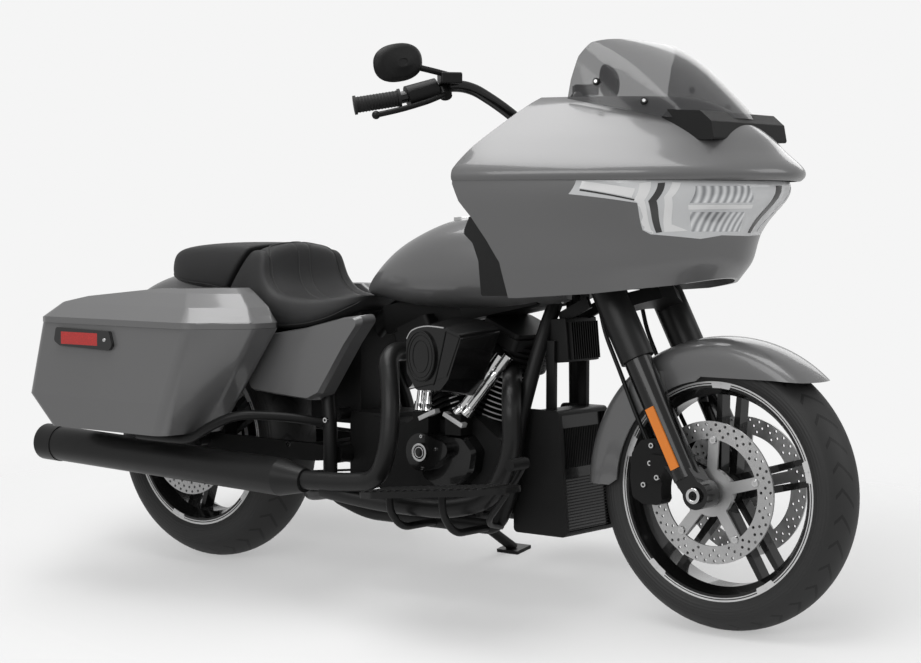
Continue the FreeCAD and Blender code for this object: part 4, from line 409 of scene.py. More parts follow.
def addBar(form, centre, half, xAxis=(1, 0, 0), zAxis=(0, 0, 1), bevel=1.0):
    part = bmesh.new()
    bmesh.ops.create_cube(part, size=2.0)
    for point in part.verts:
        point.co = Vector((point.co.x * half[0], point.co.y * half[1], point.co.z * half[2]))
    if bevel:
        bmesh.ops.bevel(part, geom=part.edges[:], offset=bevel, segments=2, profile=0.7, affect="EDGES")
    addPart(form, part, bikeMatrix(centre, xAxis, zAxis))


def addRound(form, centre, axis, profile, segments=48):  # profile: (along the axis, radius) pairs round a section
    part = bmesh.new()
    rows = []
    for index in range(segments):
        turn = 2 * math.pi * index / segments
        rows.append([part.verts.new((radius * math.cos(turn), radius * math.sin(turn), along))
                     for along, radius in profile])
    for index in range(segments):
        first, second = rows[index], rows[(index + 1) % segments]
        for step in range(len(profile)):
            after = (step + 1) % len(profile)
            part.faces.new((first[step], second[step], second[after], first[after]))
    bmesh.ops.remove_doubles(part, verts=part.verts, dist=0.001)
    bmesh.ops.recalc_face_normals(part, faces=part.faces)
    axis = Vector(axis).normalized()
    side = (1, 0, 0) if abs(axis.x) < 0.9 else (0, 1, 0)
    side = Vector(side) - axis * axis.dot(Vector(side))
    addPart(form, part, bikeMatrix(centre, side, axis))


def addRing(form, centre, axis, inner, outer, thick, bevel=0.6, segments=96):
    addRound(form, centre, axis, [(0, inner), (0, outer), (thick - bevel, outer), (thick, outer - bevel),
                                  (thick, inner + bevel), (thick - bevel, inner)], segments)


def smoothPath(points, steps=6):
    spots = [Vector(point) for point in points]
    last = len(spots) - 1
    path = []
    for index in range(last):
        a, b, c, d = (spots[min(max(index + k, 0), last)] for k in (-1, 0, 1, 2))
        for step in range(steps):
            t = step / steps
            path.append(0.5 * (2 * b + (c - a) * t + (2 * a - 5 * b + 4 * c - d) * t * t +
                               (3 * b - a - 3 * c + d) * t ** 3))
    path.append(spots[-1])
    return path


def addTube(form, path, radius, closed=False, sides=8):
    part = bmesh.new()
    count = len(path)
    rows = []
    across = None
    for index, spot in enumerate(path):
        before = path[index - 1] if closed or index else path[0]
        after = path[(index + 1) % count] if closed or index < count - 1 else path[-1]
        along = (after - before).normalized()
        across = across or along.orthogonal()
        across = (across - along * along.dot(across)).normalized()
        other = along.cross(across)
        rows.append([part.verts.new(spot + (across * math.cos(2 * math.pi * k / sides) +
                                            other * math.sin(2 * math.pi * k / sides)) * radius) for k in range(sides)])
    for index in range(count if closed else count - 1):
        first, second = rows[index], rows[(index + 1) % count]
        for k in range(sides):
            part.faces.new((first[k], first[(k + 1) % sides], second[(k + 1) % sides], second[k]))
    if not closed:
        part.faces.new(rows[0][::-1])
        part.faces.new(rows[-1])
    bmesh.ops.recalc_face_normals(part, faces=part.faces)
    addPart(form, part)


def thicken(part, shift):
    grown = bmesh.ops.extrude_face_region(part, geom=part.faces[:])
    bmesh.ops.translate(part, verts=[item for item in grown["geom"] if isinstance(item, bmesh.types.BMVert)],
                        vec=Vector(shift))
    bmesh.ops.recalc_face_normals(part, faces=part.faces)


def addPlate(form, outline, thickness, bevel):  # a flat outline, made thick along the vector
    part = bmesh.new()
    part.faces.new([part.verts.new(point) for point in outline])
    thicken(part, thickness)
    bmesh.ops.bevel(part, geom=part.edges[:], offset=bevel, segments=2, affect="EDGES")
    addPart(form, part)


def finishPiece(name, form, finish, body, sharp=32):
    form.transform(lean)
    mesh = bpy.data.meshes.new(name)
    form.to_mesh(mesh)
    form.free()
    mesh.shade_smooth()
    mesh.set_sharp_from_angle(angle=math.radians(sharp))
    mesh.materials.append(finishes[finish])
    piece = bpy.data.objects.new(name, mesh)
    collection.objects.link(piece)
    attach(piece, body)
    return piece


# Finding the surface of the solids
upright = lean.inverted()
surfaces = {}


def surfaceOf(name):
    if name not in surfaces:
        mesh = nodes[name].data
        spots = [upright @ point.co for point in mesh.vertices]
        surfaces[name] = BVHTree.FromPolygons(spots, [tuple(face.vertices) for face in mesh.polygons])
    return surfaces[name]


def touch(name, start, way):
    place, normal, _, _ = surfaceOf(name).ray_cast(Vector(start), Vector(way).normalized())
    if place is None:
        return None
    return place, (normal if normal.dot(Vector(way)) < 0 else -normal)


def fromSides(node, places, sides=(1, -1)):  # where rays from beside the bike meet a solid, given x and z
    found = [(side, touch(node, (x, side * 900.0, z), (0, -side, 0))) for x, z in places for side in sides]
    return [(side, hit) for side, hit in found if hit]


# Repeated small parts: rods and bars set on points, each turned to its own direction
repeatSizes = {"Rods": ("Foot Radius", "Top Radius", "Height"), "Bars": ("Length", "Width", "Height")}


def repeatTree(kind):
    tree = bpy.data.node_groups.new("repeat" + kind, "GeometryNodeTree")
    face = tree.interface
    face.new_socket("Geometry", in_out="INPUT", socket_type="NodeSocketGeometry")
    for size in repeatSizes[kind]:
        face.new_socket(size, in_out="INPUT", socket_type="NodeSocketFloat")
    face.new_socket("Sides", in_out="INPUT", socket_type="NodeSocketInt")
    face.new_socket("Finish", in_out="INPUT", socket_type="NodeSocketMaterial")
    face.new_socket("Geometry", in_out="OUTPUT", socket_type="NodeSocketGeometry")
    made = {key: tree.nodes.new(node) for key, node in {
        "start": "NodeGroupInput", "end": "NodeGroupOutput", "facing": "GeometryNodeInputNamedAttribute",
        "across": "GeometryNodeInputNamedAttribute", "stand": "FunctionNodeAlignRotationToVector",
        "turn": "FunctionNodeAlignRotationToVector", "spread": "GeometryNodeInstanceOnPoints",
        "real": "GeometryNodeRealizeInstances", "paint": "GeometryNodeSetMaterial",
        "shape": {"Rods": "GeometryNodeMeshCone", "Bars": "GeometryNodeMeshCube"}[kind]}.items()}
    link = tree.links.new
    for key in ("facing", "across"):
        made[key].data_type = "FLOAT_VECTOR"
        made[key].inputs["Name"].default_value = key
    made["stand"].axis = "Z"
    made["turn"].axis = "X"
    made["turn"].pivot_axis = "Z"
    link(made["facing"].outputs["Attribute"], made["stand"].inputs["Vector"])
    link(made["stand"].outputs[0], made["turn"].inputs["Rotation"])
    link(made["across"].outputs["Attribute"], made["turn"].inputs["Vector"])
    if kind == "Rods":
        link(made["start"].outputs["Foot Radius"], made["shape"].inputs["Radius Bottom"])
        link(made["start"].outputs["Top Radius"], made["shape"].inputs["Radius Top"])
        link(made["start"].outputs["Height"], made["shape"].inputs["Depth"])
        link(made["start"].outputs["Sides"], made["shape"].inputs["Vertices"])
    else:
        box = tree.nodes.new("ShaderNodeCombineXYZ")
        for index, size in enumerate(repeatSizes[kind]):
            link(made["start"].outputs[size], box.inputs[index])
        link(box.outputs[0], made["shape"].inputs["Size"])
    link(made["start"].outputs["Geometry"], made["spread"].inputs["Points"])
    link(made["shape"].outputs["Mesh"], made["spread"].inputs["Instance"])
    link(made["turn"].outputs[0], made["spread"].inputs["Rotation"])
    link(made["spread"].outputs[0], made["real"].inputs[0])
    link(made["real"].outputs[0], made["paint"].inputs["Geometry"])
    link(made["start"].outputs["Finish"], made["paint"].inputs["Material"])
    link(made["paint"].outputs[0], made["end"].inputs[0])
    return tree


repeatTrees = {kind: repeatTree(kind) for kind in ("Rods", "Bars")}
leanTurn = lean.to_3x3().normalized()


def setOut(name, kind, sizes, spots, finish, body, sides=12):  # spots: (place, facing, across) in bike space
    points = bpy.data.meshes.new(name + "Points")
    points.from_pydata([tuple(bike(*spot[0])) for spot in spots], [], [])
    for key, index in (("facing", 1), ("across", 2)):
        attribute = points.attributes.new(key, "FLOAT_VECTOR", "POINT")
        attribute.data.foreach_set("vector", [c for spot in spots for c in leanTurn @ Vector(spot[index])])
    carrier = bpy.data.objects.new(name + "Points", points)
    collection.objects.link(carrier)
    modifier = carrier.modifiers.new("repeat", "NODES")
    modifier.node_group = repeatTrees[kind]
    inputs = {item.name: item.identifier for item in repeatTrees[kind].interface.items_tree if item.in_out == "INPUT"}
    for label, size in zip(repeatSizes[kind], sizes):
        modifier[inputs[label]] = size / 1000
    modifier[inputs["Sides"]] = sides
    modifier[inputs["Finish"]] = finishes[finish]
    evaluated = carrier.evaluated_get(bpy.context.evaluated_depsgraph_get())
    mesh = bpy.data.meshes.new_from_object(evaluated)
    bpy.data.objects.remove(carrier)
    mesh.shade_smooth()
    mesh.set_sharp_from_angle(angle=math.radians(32))
    piece = bpy.data.objects.new(name, mesh)
    collection.objects.link(piece)
    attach(piece, body)
    return piece


boltShape = {"taper": 0.86, "sunk": 0.4, "socketShare": 0.5, "socketRise": 0.35, "sides": 20, "socketSides": 6}


def setBolts(name, body, spots, radius, height, finish="chrome", socket="blackSatin"):
    if not spots:
        return
    outward = [(Vector(place), Vector(facing).normalized()) for place, facing in spots]
    rise = height * boltShape["sunk"]
    heads = [(place + facing * rise, facing, facing.orthogonal()) for place, facing in outward]
    setOut(name, "Rods", (radius, radius * boltShape["taper"], height), heads, finish, body, boltShape["sides"])
    rise += boltShape["socketRise"]
    holes = [(place + facing * rise, facing, facing.orthogonal()) for place, facing in outward]
    inner = radius * boltShape["socketShare"]
    setOut(name + "Sockets", "Rods", (inner, inner, height), holes, socket, body, boltShape["socketSides"])


def boltsOn(name, body, node, places, radius, height, sides=(-1, 1)):
    spots = [(hit[0], (0, side, 0)) for side, hit in fromSides(node, places, sides)]
    setBolts(name, body, spots, radius, height)


# Seats: crowned closed pads with seams, in the space of their solids
riderPad = {  # base x, slant, low z, half width, centre z, rim z
    "stations": ((194, 1.0, 692, 150, 849, 836), (202, 1.0, 685, 158, 858, 842), (228, 0.95, 677, 162, 861, 844),
                 (262, 0.85, 669, 166, 849, 838), (292, 0.68, 659, 171, 808, 816), (318, 0.5, 651, 177, 768, 783),
                 (345, 0.32, 646, 181, 740, 757), (372, 0.16, 642, 184, 723, 737), (405, 0, 639, 185, 714, 727),
                 (450, 0, 641, 184, 709, 722), (500, 0, 648, 173, 709, 720), (545, 0, 664, 149, 716, 726),
                 (580, 0, 685, 121, 726, 732), (599, 0, 700, 92, 731, 733)),
    "strip": 24.0, "seam": 3.0}
passengerPad = {
    "stations": ((-58, 0, 775, 97, 798, 796), (-50, 0, 763, 115, 816, 812), (-34, 0, 753, 132, 836, 830),
                 (0, 0, 747, 147, 850, 843), (50, 0.1, 741, 154, 858, 850), (110, 0.4, 737, 157, 861, 853),
                 (150, 0.75, 731, 157, 861, 853), (177, 1.0, 727, 156, 861, 853), (186, 1.0, 729, 152, 856, 848)),
    "strip": 0.0, "seam": 0.0}
padShape = {"partingSlope": 0.674, "partingFoot": 737.0, "sag": 1.1, "sagSize": 0.018, "endShare": 0.35, "endPush": 2.5,
            "lowWelt": 5, "rimEdge": 10, "seamFoot": 14}  # the last three are places in a row


def padRow(pad, station):  # half a section from the middle of the base to the middle of the top
    base, slant, low, half, centre, rim = station
    rise = rim - low
    up = rim - centre
    row = [(0, low), (0.45, low), (0.78, low + 1), (0.91, low + 5), (0.955, low + 11), (0.968, low + 14), (0.985, low + 18),
           (1.0, low + 0.42 * rise), (0.99, low + 0.66 * rise), (0.955, rim - 0.12 * rise), (0.905, rim - 3), (0.85, rim)]
    if pad["seam"]:
        row += [(0.80, rim - 1.5), (0.772, rim - 3.5 - 0.1 * up), (0.76, rim - 4 - 0.16 * up - pad["seam"]),
                (0.745, rim - 3.5 - 0.2 * up), (0.67, centre + 0.60 * up), (0.5, centre + 0.30 * up), (0.33, centre + 0.1 * up)]
    else:
        row += [(0.74, rim + 0.45 * (centre - rim)), (0.5, centre - 1.5), (0.25, centre)]
    if pad["strip"]:
        strip = pad["strip"] / half
        row += [(strip * 1.35, centre + 0.5), (strip * 1.08, centre), (strip, centre - 2.2), (strip * 0.92, centre + 0.4),
                (strip * 0.5, centre + 1.6)]
    row.append((0, centre + (1.8 if pad["strip"] else 0.4)))
    shift = slant * padShape["partingSlope"]
    return [Vector((base + shift * (z - padShape["partingFoot"]), share * half, z)) for share, z in row]


def makePad(name, pad, node):
    form = bmesh.new()
    rings = []
    for station in pad["stations"]:
        half = padRow(pad, station)
        ring = half + [Vector((point.x, -point.y, point.z)) for point in half[-2:0:-1]]
        rings.append([form.verts.new(point) for point in ring])
    for first, second in zip(rings, rings[1:]):
        for index in range(len(first)):
            after = (index + 1) % len(first)
            form.faces.new((first[index], second[index], second[after], first[after]))
    for ring, push in ((rings[0], -1.0), (rings[-1], 1.0)):
        middle = sum((vert.co for vert in ring), Vector()) / len(ring)
        out = Vector((push * padShape["endPush"], 0, 0))
        inner = [form.verts.new(vert.co.lerp(middle, padShape["endShare"]) + out) for vert in ring]
        for index in range(len(ring)):
            after = (index + 1) % len(ring)
            form.faces.new((ring[index], ring[after], inner[after], inner[index]))
        form.faces.new(inner)
    bmesh.ops.recalc_face_normals(form, faces=form.faces)
    for point in form.verts:  # soft sag between the seams
        point.co.z += padShape["sag"] * noise.noise(point.co * padShape["sagSize"])
    piece = finishPiece(name, form, "seatVinyl", "chassis", 180)
    crown = piece.modifiers.new("crown", "SUBSURF")
    crown.levels = crown.render_levels = 2
    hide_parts(node)
    evaluated = piece.evaluated_get(bpy.context.evaluated_depsgraph_get())
    mesh = evaluated.to_mesh()
    tree = BVHTree.FromPolygons([upright @ point.co for point in mesh.vertices],
                                [tuple(face.vertices) for face in mesh.polygons])
    evaluated.to_mesh_clear()
    return tree


def onto(tree, spots, lift):
    placed = []
    for spot in spots:
        place, normal, _, _ = tree.find_nearest(spot)
        placed.append(place + normal * lift)
    return placed


def mirrored(spots):
    return [Vector((spot.x, -spot.y, spot.z)) for spot in spots]


welts = {"rim": 2.3, "rimLift": 0.9, "low": 1.7, "lowLift": 0.4, "passenger": 1.8, "passengerLift": 0.3}
stitches = {"gap": 8.0, "radius": 0.75, "length": 5.2, "lift": 0.35, "inset": 0.955, "stripY": 21.0}


def stitchLine(name, tree, route):
    path = onto(tree, smoothPath(route, 40), stitches["lift"])
    spots = []
    run = 0.0
    for first, second in zip(path, path[1:]):
        run += (second - first).length
        if run >= stitches["gap"]:
            run = 0.0
            along = (second - first).normalized()
            spots.append((second, along, along.orthogonal()))
    setOut(name, "Rods", (stitches["radius"], stitches["radius"], stitches["length"]), spots, "threadGrey", "chassis", 6)


def makeSeats():
    tree = makePad("riderSeatPad", riderPad, "rider_seat")
    rows = [padRow(riderPad, station) for station in riderPad["stations"]]
    _, _, _, half, centre, _ = riderPad["stations"][2]
    back = rows[2][padShape["rimEdge"]].x
    across = [Vector((back, share * half, centre)) for share in (0.6, 0.35, 0.0, -0.35, -0.6)]
    rim = [row[padShape["seamFoot"]] for row in rows[3:13]]
    route = rim[::-1] + across + mirrored(rim)
    form = bmesh.new()
    addTube(form, onto(tree, smoothPath(route, 8), welts["rimLift"]), welts["rim"])
    low = [row[padShape["lowWelt"]] for row in rows]
    for spots in (low, mirrored(low)):
        addTube(form, onto(tree, smoothPath(spots), welts["lowLift"]), welts["low"])
    finishPiece("riderSeatWelts", form, "weltVinyl", "chassis", 60)
    stitchLine("rimStitches", tree, [Vector((spot.x, spot.y * stitches["inset"], spot.z)) for spot in route])
    strip = [Vector((row[-1].x, stitches["stripY"], row[-1].z)) for row in rows[3:12]]
    stitchLine("stripStitchesLeft", tree, strip)
    stitchLine("stripStitchesRight", tree, mirrored(strip))
    tree = makePad("passengerSeatPad", passengerPad, "passenger_seat")
    rows = [padRow(passengerPad, station) for station in passengerPad["stations"]]
    low = [row[padShape["lowWelt"]] for row in rows[1:]]
    back = [Vector((-58, y, 788)) for y in (45, 0, -45)]
    form = bmesh.new()
    addTube(form, onto(tree, smoothPath(low[::-1] + back + mirrored(low)), welts["passengerLift"]), welts["passenger"])
    finishPiece("passengerSeatWelt", form, "weltVinyl", "chassis", 60)


makeSeats()
print("seats ready")

# Wheels
frontWheel = {"centre": frontAxle, "rim": 241.3, "lipFace": 56.0, "hub": 34.0, "hubHalf": 62.0, "body": "front_wheel",
              "turn": 15.0}
rearWheel = {"centre": rearAxle, "rim": 228.6, "lipFace": 78.0, "hub": 46.0, "hubHalf": 78.0, "body": "rear_wheel",
             "turn": 35.0}
brake = {"buttonRadius": 118.0, "discFace": 75.5, "headRadius": 9.0, "headHeight": 3.0}
rimTrim = {"spokes": 5, "sunk": 0.2,
           "lips": ((2.0, 12.4, 1.2, 0.6), (-3.0, -0.4, 0.9, 0.4)),  # inner and outer past the rim, thickness, bevel
           "tab": ((-2.6, -8.6), (-3.6, 8.0), (3.6, 8.0), (2.6, -8.6)),  # degrees, and reach past the rim
           "tabApart": 2.75, "tabSunk": 0.6, "tabThick": 1.2, "tabBevel": 0.4, "hubStart": 19.0, "hubGap": 0.5,
           "hub": ((0, -3), (0, 0.4), (0.45, 0.7), (0.5, -0.4), (0.9, 0.5), (1, -2), (1, -4))}


def wheelSpot(wheel, angle, radius, across):
    turn = math.radians(angle)
    x, _, z = wheel["centre"]
    return Vector((x + radius * math.cos(turn), across, z + radius * math.sin(turn)))


def makeWheelTrim(name, wheel):
    rings = bmesh.new()
    tabs = bmesh.new()
    centre, rim = Vector(wheel["centre"]), wheel["rim"]
    for side in (1, -1):
        face = centre + Vector((0, side * (wheel["lipFace"] - rimTrim["sunk"]), 0))
        for inner, outer, thick, bevel in rimTrim["lips"]:
            addRing(rings, face, (0, side, 0), rim + inner, rim + outer, thick, bevel)
        across = side * (wheel["lipFace"] - rimTrim["tabSunk"])
        for index in range(rimTrim["spokes"]):
            for apart in (-rimTrim["tabApart"], rimTrim["tabApart"]):
                angle = wheel["turn"] + index * 360 / rimTrim["spokes"] + apart
                outline = [wheelSpot(wheel, angle + step, rim + reach, across) for step, reach in rimTrim["tab"]]
                addPlate(tabs, outline, (0, side * rimTrim["tabThick"], 0), rimTrim["tabBevel"])
        length = wheel["hubHalf"] - rimTrim["hubStart"] - rimTrim["hubGap"]
        profile = [(length * share, wheel["hub"] + more) for share, more in rimTrim["hub"]]
        addRound(tabs, centre + Vector((0, side * rimTrim["hubStart"], 0)), (0, side, 0), profile, 64)
    finishPiece(name + "LipRings", rings, "machinedPale", wheel["body"])
    finishPiece(name + "TabsAndHub", tabs, "machinedPale", wheel["body"])


makeWheelTrim("front", frontWheel)
makeWheelTrim("rear", rearWheel)
buttons = [(wheelSpot(frontWheel, frontWheel["turn"] + index * 360 / rimTrim["spokes"], brake["buttonRadius"],
                      side * brake["discFace"]), (0, side, 0)) for index in range(rimTrim["spokes"]) for side in (1, -1)]
setBolts("discButtons", "front_wheel", buttons, brake["headRadius"], brake["headHeight"], "chrome", "machined")


axleEnd = {"ringY": 149.5, "ringInner": 10.5, "ringOuter": 17.5, "ringThick": 2.0, "ringBevel": 0.8,
           "coreY": 149.7, "core": ((0, 2.0), (0, 10.8), (0.9, 10.8), (0.9, 2.0))}


def makeAxleEnds():
    x, _, z = frontAxle
    rings, cores = bmesh.new(), bmesh.new()
    for side in (1, -1):
        addRing(rings, (x, side * axleEnd["ringY"], z), (0, side, 0), axleEnd["ringInner"], axleEnd["ringOuter"],
                axleEnd["ringThick"], axleEnd["ringBevel"], 48)
        addRound(cores, (x, side * axleEnd["coreY"], z), (0, side, 0), axleEnd["core"], 36)
    finishPiece("frontAxleRings", rings, "chrome", "steering")
    finishPiece("frontAxleCores", cores, "blackSatin", "steering")


makeAxleEnds()
print("wheels ready")

# Engine
engine = {"crank": (905.0, 325.0), "lean": 22.5, "deck": 128.0, "fins": 11, "pitch": (272.0 - 128.0) / 11}
finBands = {"height": 3.2, "inner": 74.0, "outer": 75.7, "phase": 0.51, "spans": ((14, 66), (-40, -24), (114, 166))}
headPlate = {"along": 268.0, "y": -78.0, "half": (52.0, 11.0, 7.5), "bevel": 1.6}
lifterPlates = {"places": (((875.0, -150.0, 452.0), (54, 0, 23), 28.0), ((955.0, -150.0, 445.0), (60, 0, -27), 32.0)),
                "depth": 10.0, "height": 5.5, "bevel": 1.6}
pushrods = {"ends": (((965.0, -136.0, 458.0), (1070.0, -104.0, 602.0)), ((845.0, -136.0, 458.0), (840.0, -104.0, 602.0))),
            "apart": 12.0, "collarShare": 0.52,
            "foot": ((0, 9.0), (0, 15.0), (16, 14.5), (22, 11.8), (22, 9.0)),
            "collar": ((0, 9.8), (0, 11.6), (2, 12.4), (34, 12.4), (36, 11.6), (36, 9.8))}


def cylinderAxes(side):  # up along the front (1) or rear (-1) cylinder, and forward across it
    tilt = math.radians(engine["lean"]) * side
    return Vector((math.sin(tilt), 0, math.cos(tilt))), Vector((math.cos(tilt), 0, -math.sin(tilt)))


def cylinderSpot(side, along, turn, radius):  # turn is from the right side to the front
    up, forward = cylinderAxes(side)
    angle = math.radians(turn)
    crankX, crankZ = engine["crank"]
    out = Vector((0, -1, 0)) * math.cos(angle) + forward * math.sin(angle)
    return Vector((crankX, 0, crankZ)) + up * along + out * radius


def addBand(form, side, along, height, start, end, inner, outer):
    part = bmesh.new()
    steps = 12
    rows = []
    for index in range(steps + 1):
        turn = start + (end - start) * index / steps
        rows.append([part.verts.new(cylinderSpot(side, along + rise, turn, radius)) for rise, radius in
                     ((-height / 2, inner), (-height / 2, outer), (height / 2, outer), (height / 2, inner))])
    for first, second in zip(rows, rows[1:]):
        for k in range(4):
            part.faces.new((first[k], second[k], second[(k + 1) % 4], first[(k + 1) % 4]))
    part.faces.new(rows[0])
    part.faces.new(rows[-1])
    bmesh.ops.recalc_face_normals(part, faces=part.faces)
    addPart(form, part)


def makeEngineTrim():
    form = bmesh.new()
    for side in (1, -1):
        for index in range(engine["fins"]):
            along = engine["deck"] + (index + finBands["phase"]) * engine["pitch"]
            for start, end in finBands["spans"]:
                addBand(form, side, along, finBands["height"], start * side, end * side, finBands["inner"], finBands["outer"])
    finishPiece("finEdges", form, "machinedPale", "chassis")
    form = bmesh.new()
    for side in (1, -1):
        up, forward = cylinderAxes(side)
        middle = cylinderSpot(side, headPlate["along"], 0, 0) + Vector((0, headPlate["y"], 0))
        addBar(form, middle, headPlate["half"], forward, up, headPlate["bevel"])
    for centre, way, half in lifterPlates["places"]:
        addBar(form, centre, (half, lifterPlates["depth"], lifterPlates["height"]), way, (0, 0, 1), lifterPlates["bevel"])
    finishPiece("headAndLifterPlates", form, "machinedPale", "chassis")
    form = bmesh.new()
    for foot, top in pushrods["ends"]:
        way = Vector(top) - Vector(foot)
        for offset in (-pushrods["apart"], pushrods["apart"]):
            start = Vector(foot) + Vector((offset, 0, 0))
            addRound(form, start, way, pushrods["foot"], 32)
            addRound(form, start + way * pushrods["collarShare"], way, pushrods["collar"], 32)
    finishPiece("pushrodCollars", form, "chrome", "chassis")


cleaner = {"oval": (924, -242.2, 600), "ovals": ((42.0, 58.5, 1.7), (35.0, 50.5, 1.2), (24.0, 38.0, 1.3)),
           "ridgeY": -237.2, "ridge": ((884, 520), (948, 534), (962, 540), (980, 600), (996, 662)), "ridgeRadius": 1.3,
           "panelY": -236.0, "panel": ((1000, 660), (1038, 648), (1000, 556), (968, 545)), "panelThick": 2.0,
           "edgeY": -236.5, "edge": ((877, 640), (894, 661), (936, 672), (990, 670)), "edgeRadius": 1.8}
timing = {"centre": (868.0, -180.0, 362.0), "rings": ((17.0, 22.0, 1.4, 0.6), (11.5, 13.2, 1.2, 0.4)),
          "bolts": ((872, 401), (872, 323), (914, 372)), "bolt": (4.6, 3.0)}
primary = {"rear": (684.0, 325.0), "frontRound": 103.0, "frontTurns": (-80, -45, -10, 25, 60, 92), "rearRound": 78.0,
           "rearTurns": (100, 140, 180, 220, 260), "between": [(790, 424), (800, 224)], "bolt": (5.0, 3.5),
           "derbyRound": 50.0, "derbyTurns": (90, 162, 234, 306, 18), "derbyBolt": (3.6, 2.4)}


def ringOf(centre, radius, turns):
    return [(centre[0] + radius * math.cos(math.radians(turn)), centre[1] + radius * math.sin(math.radians(turn)))
            for turn in turns]


def flatPath(places, y):
    return [Vector((x, y, z)) for x, z in places]


def makeCoverTrim():
    form = bmesh.new()
    x, y, z = cleaner["oval"]
    around = ringOf((0, 0), 1.0, [k * 360 / 48 for k in range(48)])
    for wide, tall, radius in cleaner["ovals"]:
        addTube(form, [Vector((x + wide * c, y, z + tall * s)) for c, s in around], radius, True)
    addTube(form, smoothPath(flatPath(cleaner["ridge"], cleaner["ridgeY"]), 5), cleaner["ridgeRadius"])
    finishPiece("airCleanerRidges", form, "blackSatin", "chassis")
    form = bmesh.new()
    addPlate(form, flatPath(cleaner["panel"], cleaner["panelY"]), (0, -cleaner["panelThick"], 0), 0.8)
    finishPiece("airCleanerPanel", form, "blackGloss", "chassis")
    form = bmesh.new()
    addTube(form, smoothPath(flatPath(cleaner["edge"], cleaner["edgeY"])), cleaner["edgeRadius"])
    finishPiece("airCleanerEdge", form, "machined", "chassis")
    form = bmesh.new()
    for inner, outer, thick, bevel in timing["rings"]:
        addRing(form, timing["centre"], (0, -1, 0), inner, outer, thick, bevel)
    finishPiece("timingRings", form, "machinedPale", "chassis")
    boltsOn("timingBolts", "chassis", "cam_cover", timing["bolts"], *timing["bolt"], sides=(-1,))
    around = ringOf(engine["crank"], primary["frontRound"], primary["frontTurns"]) + \
        ringOf(primary["rear"], primary["rearRound"], primary["rearTurns"]) + primary["between"]
    boltsOn("primaryBolts", "chassis", "primary_cover", around, *primary["bolt"], sides=(1,))
    derby = ringOf(engine["crank"], primary["derbyRound"], primary["derbyTurns"])
    boltsOn("derbyBolts", "chassis", "primary_cover", derby, *primary["derbyBolt"], sides=(1,))


makeEngineTrim()
makeCoverTrim()


radiator = {"slope": 26.0 / 296.0, "faceX": 1225.0, "faceZ": 478.0, "inset": 7.5, "pitch": 7.0, "width": 1.6, "depth": 3.0,
            "uprights": 25, "uprightY": -84.0, "uprightZ": 388.0, "uprightLength": 94.0,
            "louvres": 19, "louvreZ": 190.0, "louvreLength": 172.0}


def makeRadiatorFins():
    slope = radiator["slope"]
    facing = Vector((1, 0, slope)).normalized()
    along = Vector((-slope, 0, 1)).normalized()

    def onFace(y, z):
        return Vector((radiator["faceX"] + slope * (radiator["faceZ"] - z) - radiator["inset"], y, z))

    spots = [(onFace(radiator["uprightY"] + radiator["pitch"] * index, radiator["uprightZ"]), facing, along)
             for index in range(radiator["uprights"])]
    section = (radiator["width"], radiator["depth"])
    setOut("radiatorUprights", "Bars", (radiator["uprightLength"], *section), spots, "blackSatin", "chassis")
    spots = [(onFace(0, radiator["louvreZ"] + radiator["pitch"] * index), facing, (0, 1, 0))
             for index in range(radiator["louvres"])]
    setOut("radiatorLouvres", "Bars", (radiator["louvreLength"], *section), spots, "blackSatin", "chassis")


makeRadiatorFins()
print("engine ready")

# Headlamp pattern, given by y and z on the near half
lampPattern = {
    "dark": (((-245, 1005), (-250, 966), (-208, 897), (-200, 899), (-240, 967), (-236, 1006)),
             ((-13, 1001), (13, 1001), (6, 897), (-6, 897)),
             ((-327, 988), (-268, 967), (-268, 970), (-327, 992))),
    "bright": (((-326, 1009), (-273, 993), (-273, 974), (-328, 994)),
               ((-268, 1004), (-254, 1008), (-256, 968), (-213, 895), (-226, 895), (-268, 962)),
               ((-226, 1007), (-214, 1006), (-222, 974), (-192, 916), (-158, 902), (-196, 899), (-233, 975)),
               ((-190, 958), (-60, 959), (-54, 951), (-183, 948))),
    "reflector": (((-192, 999), (-90, 1000), (-65, 964), (-190, 962)),
                  ((-177, 943), (-62, 943), (-36, 900), (-150, 900)))}


lampLay = {"fromX": 2400.0, "middleZ": 952.0, "pullY": 0.97, "pullZ": 0.93, "edge": 7.0, "lift": -0.6, "thick": 1.4}


def layOnLamp(form, outline):
    part = bmesh.new()
    part.faces.new([part.verts.new((0, y, z)) for y, z in outline])
    bmesh.ops.triangulate(part, faces=part.faces[:])
    for _ in range(3):
        wideEdges = [edge for edge in part.edges if edge.calc_length() > lampLay["edge"]]
        bmesh.ops.subdivide_edges(part, edges=wideEdges, cuts=1)
        bmesh.ops.triangulate(part, faces=part.faces[:])
    for point in part.verts:
        y, z = point.co.y, point.co.z
        found = touch("headlamp", (lampLay["fromX"], y, z), (-1, 0, 0))
        if found is None:  # past the lamp's edge, so a little nearer its middle
            nearZ = lampLay["middleZ"] + (z - lampLay["middleZ"]) * lampLay["pullZ"]
            found = touch("headlamp", (lampLay["fromX"], y * lampLay["pullY"], nearZ), (-1, 0, 0))
        if found is None:
            part.free()
            return
        point.co = found[0] + Vector((lampLay["lift"], 0, 0))
    thicken(part, (lampLay["thick"], 0, 0))
    addPart(form, part)


def makeLampPattern():
    finishOf = {"dark": "lampDark", "bright": "lampWhite", "reflector": "lampRibsPaintedReflection"}
    for kind, outlines in lampPattern.items():
        form = bmesh.new()
        for outline in outlines:
            for side in (1, -1):
                layOnLamp(form, [(side * y, z) for y, z in outline])
        finishPiece("lamp" + kind.capitalize(), form, finishOf[kind], "chassis")


makeLampPattern()


shieldBolt = {"places": ((1394, 1232), (1506, 1186)), "radius": 8.5, "height": 4.0}


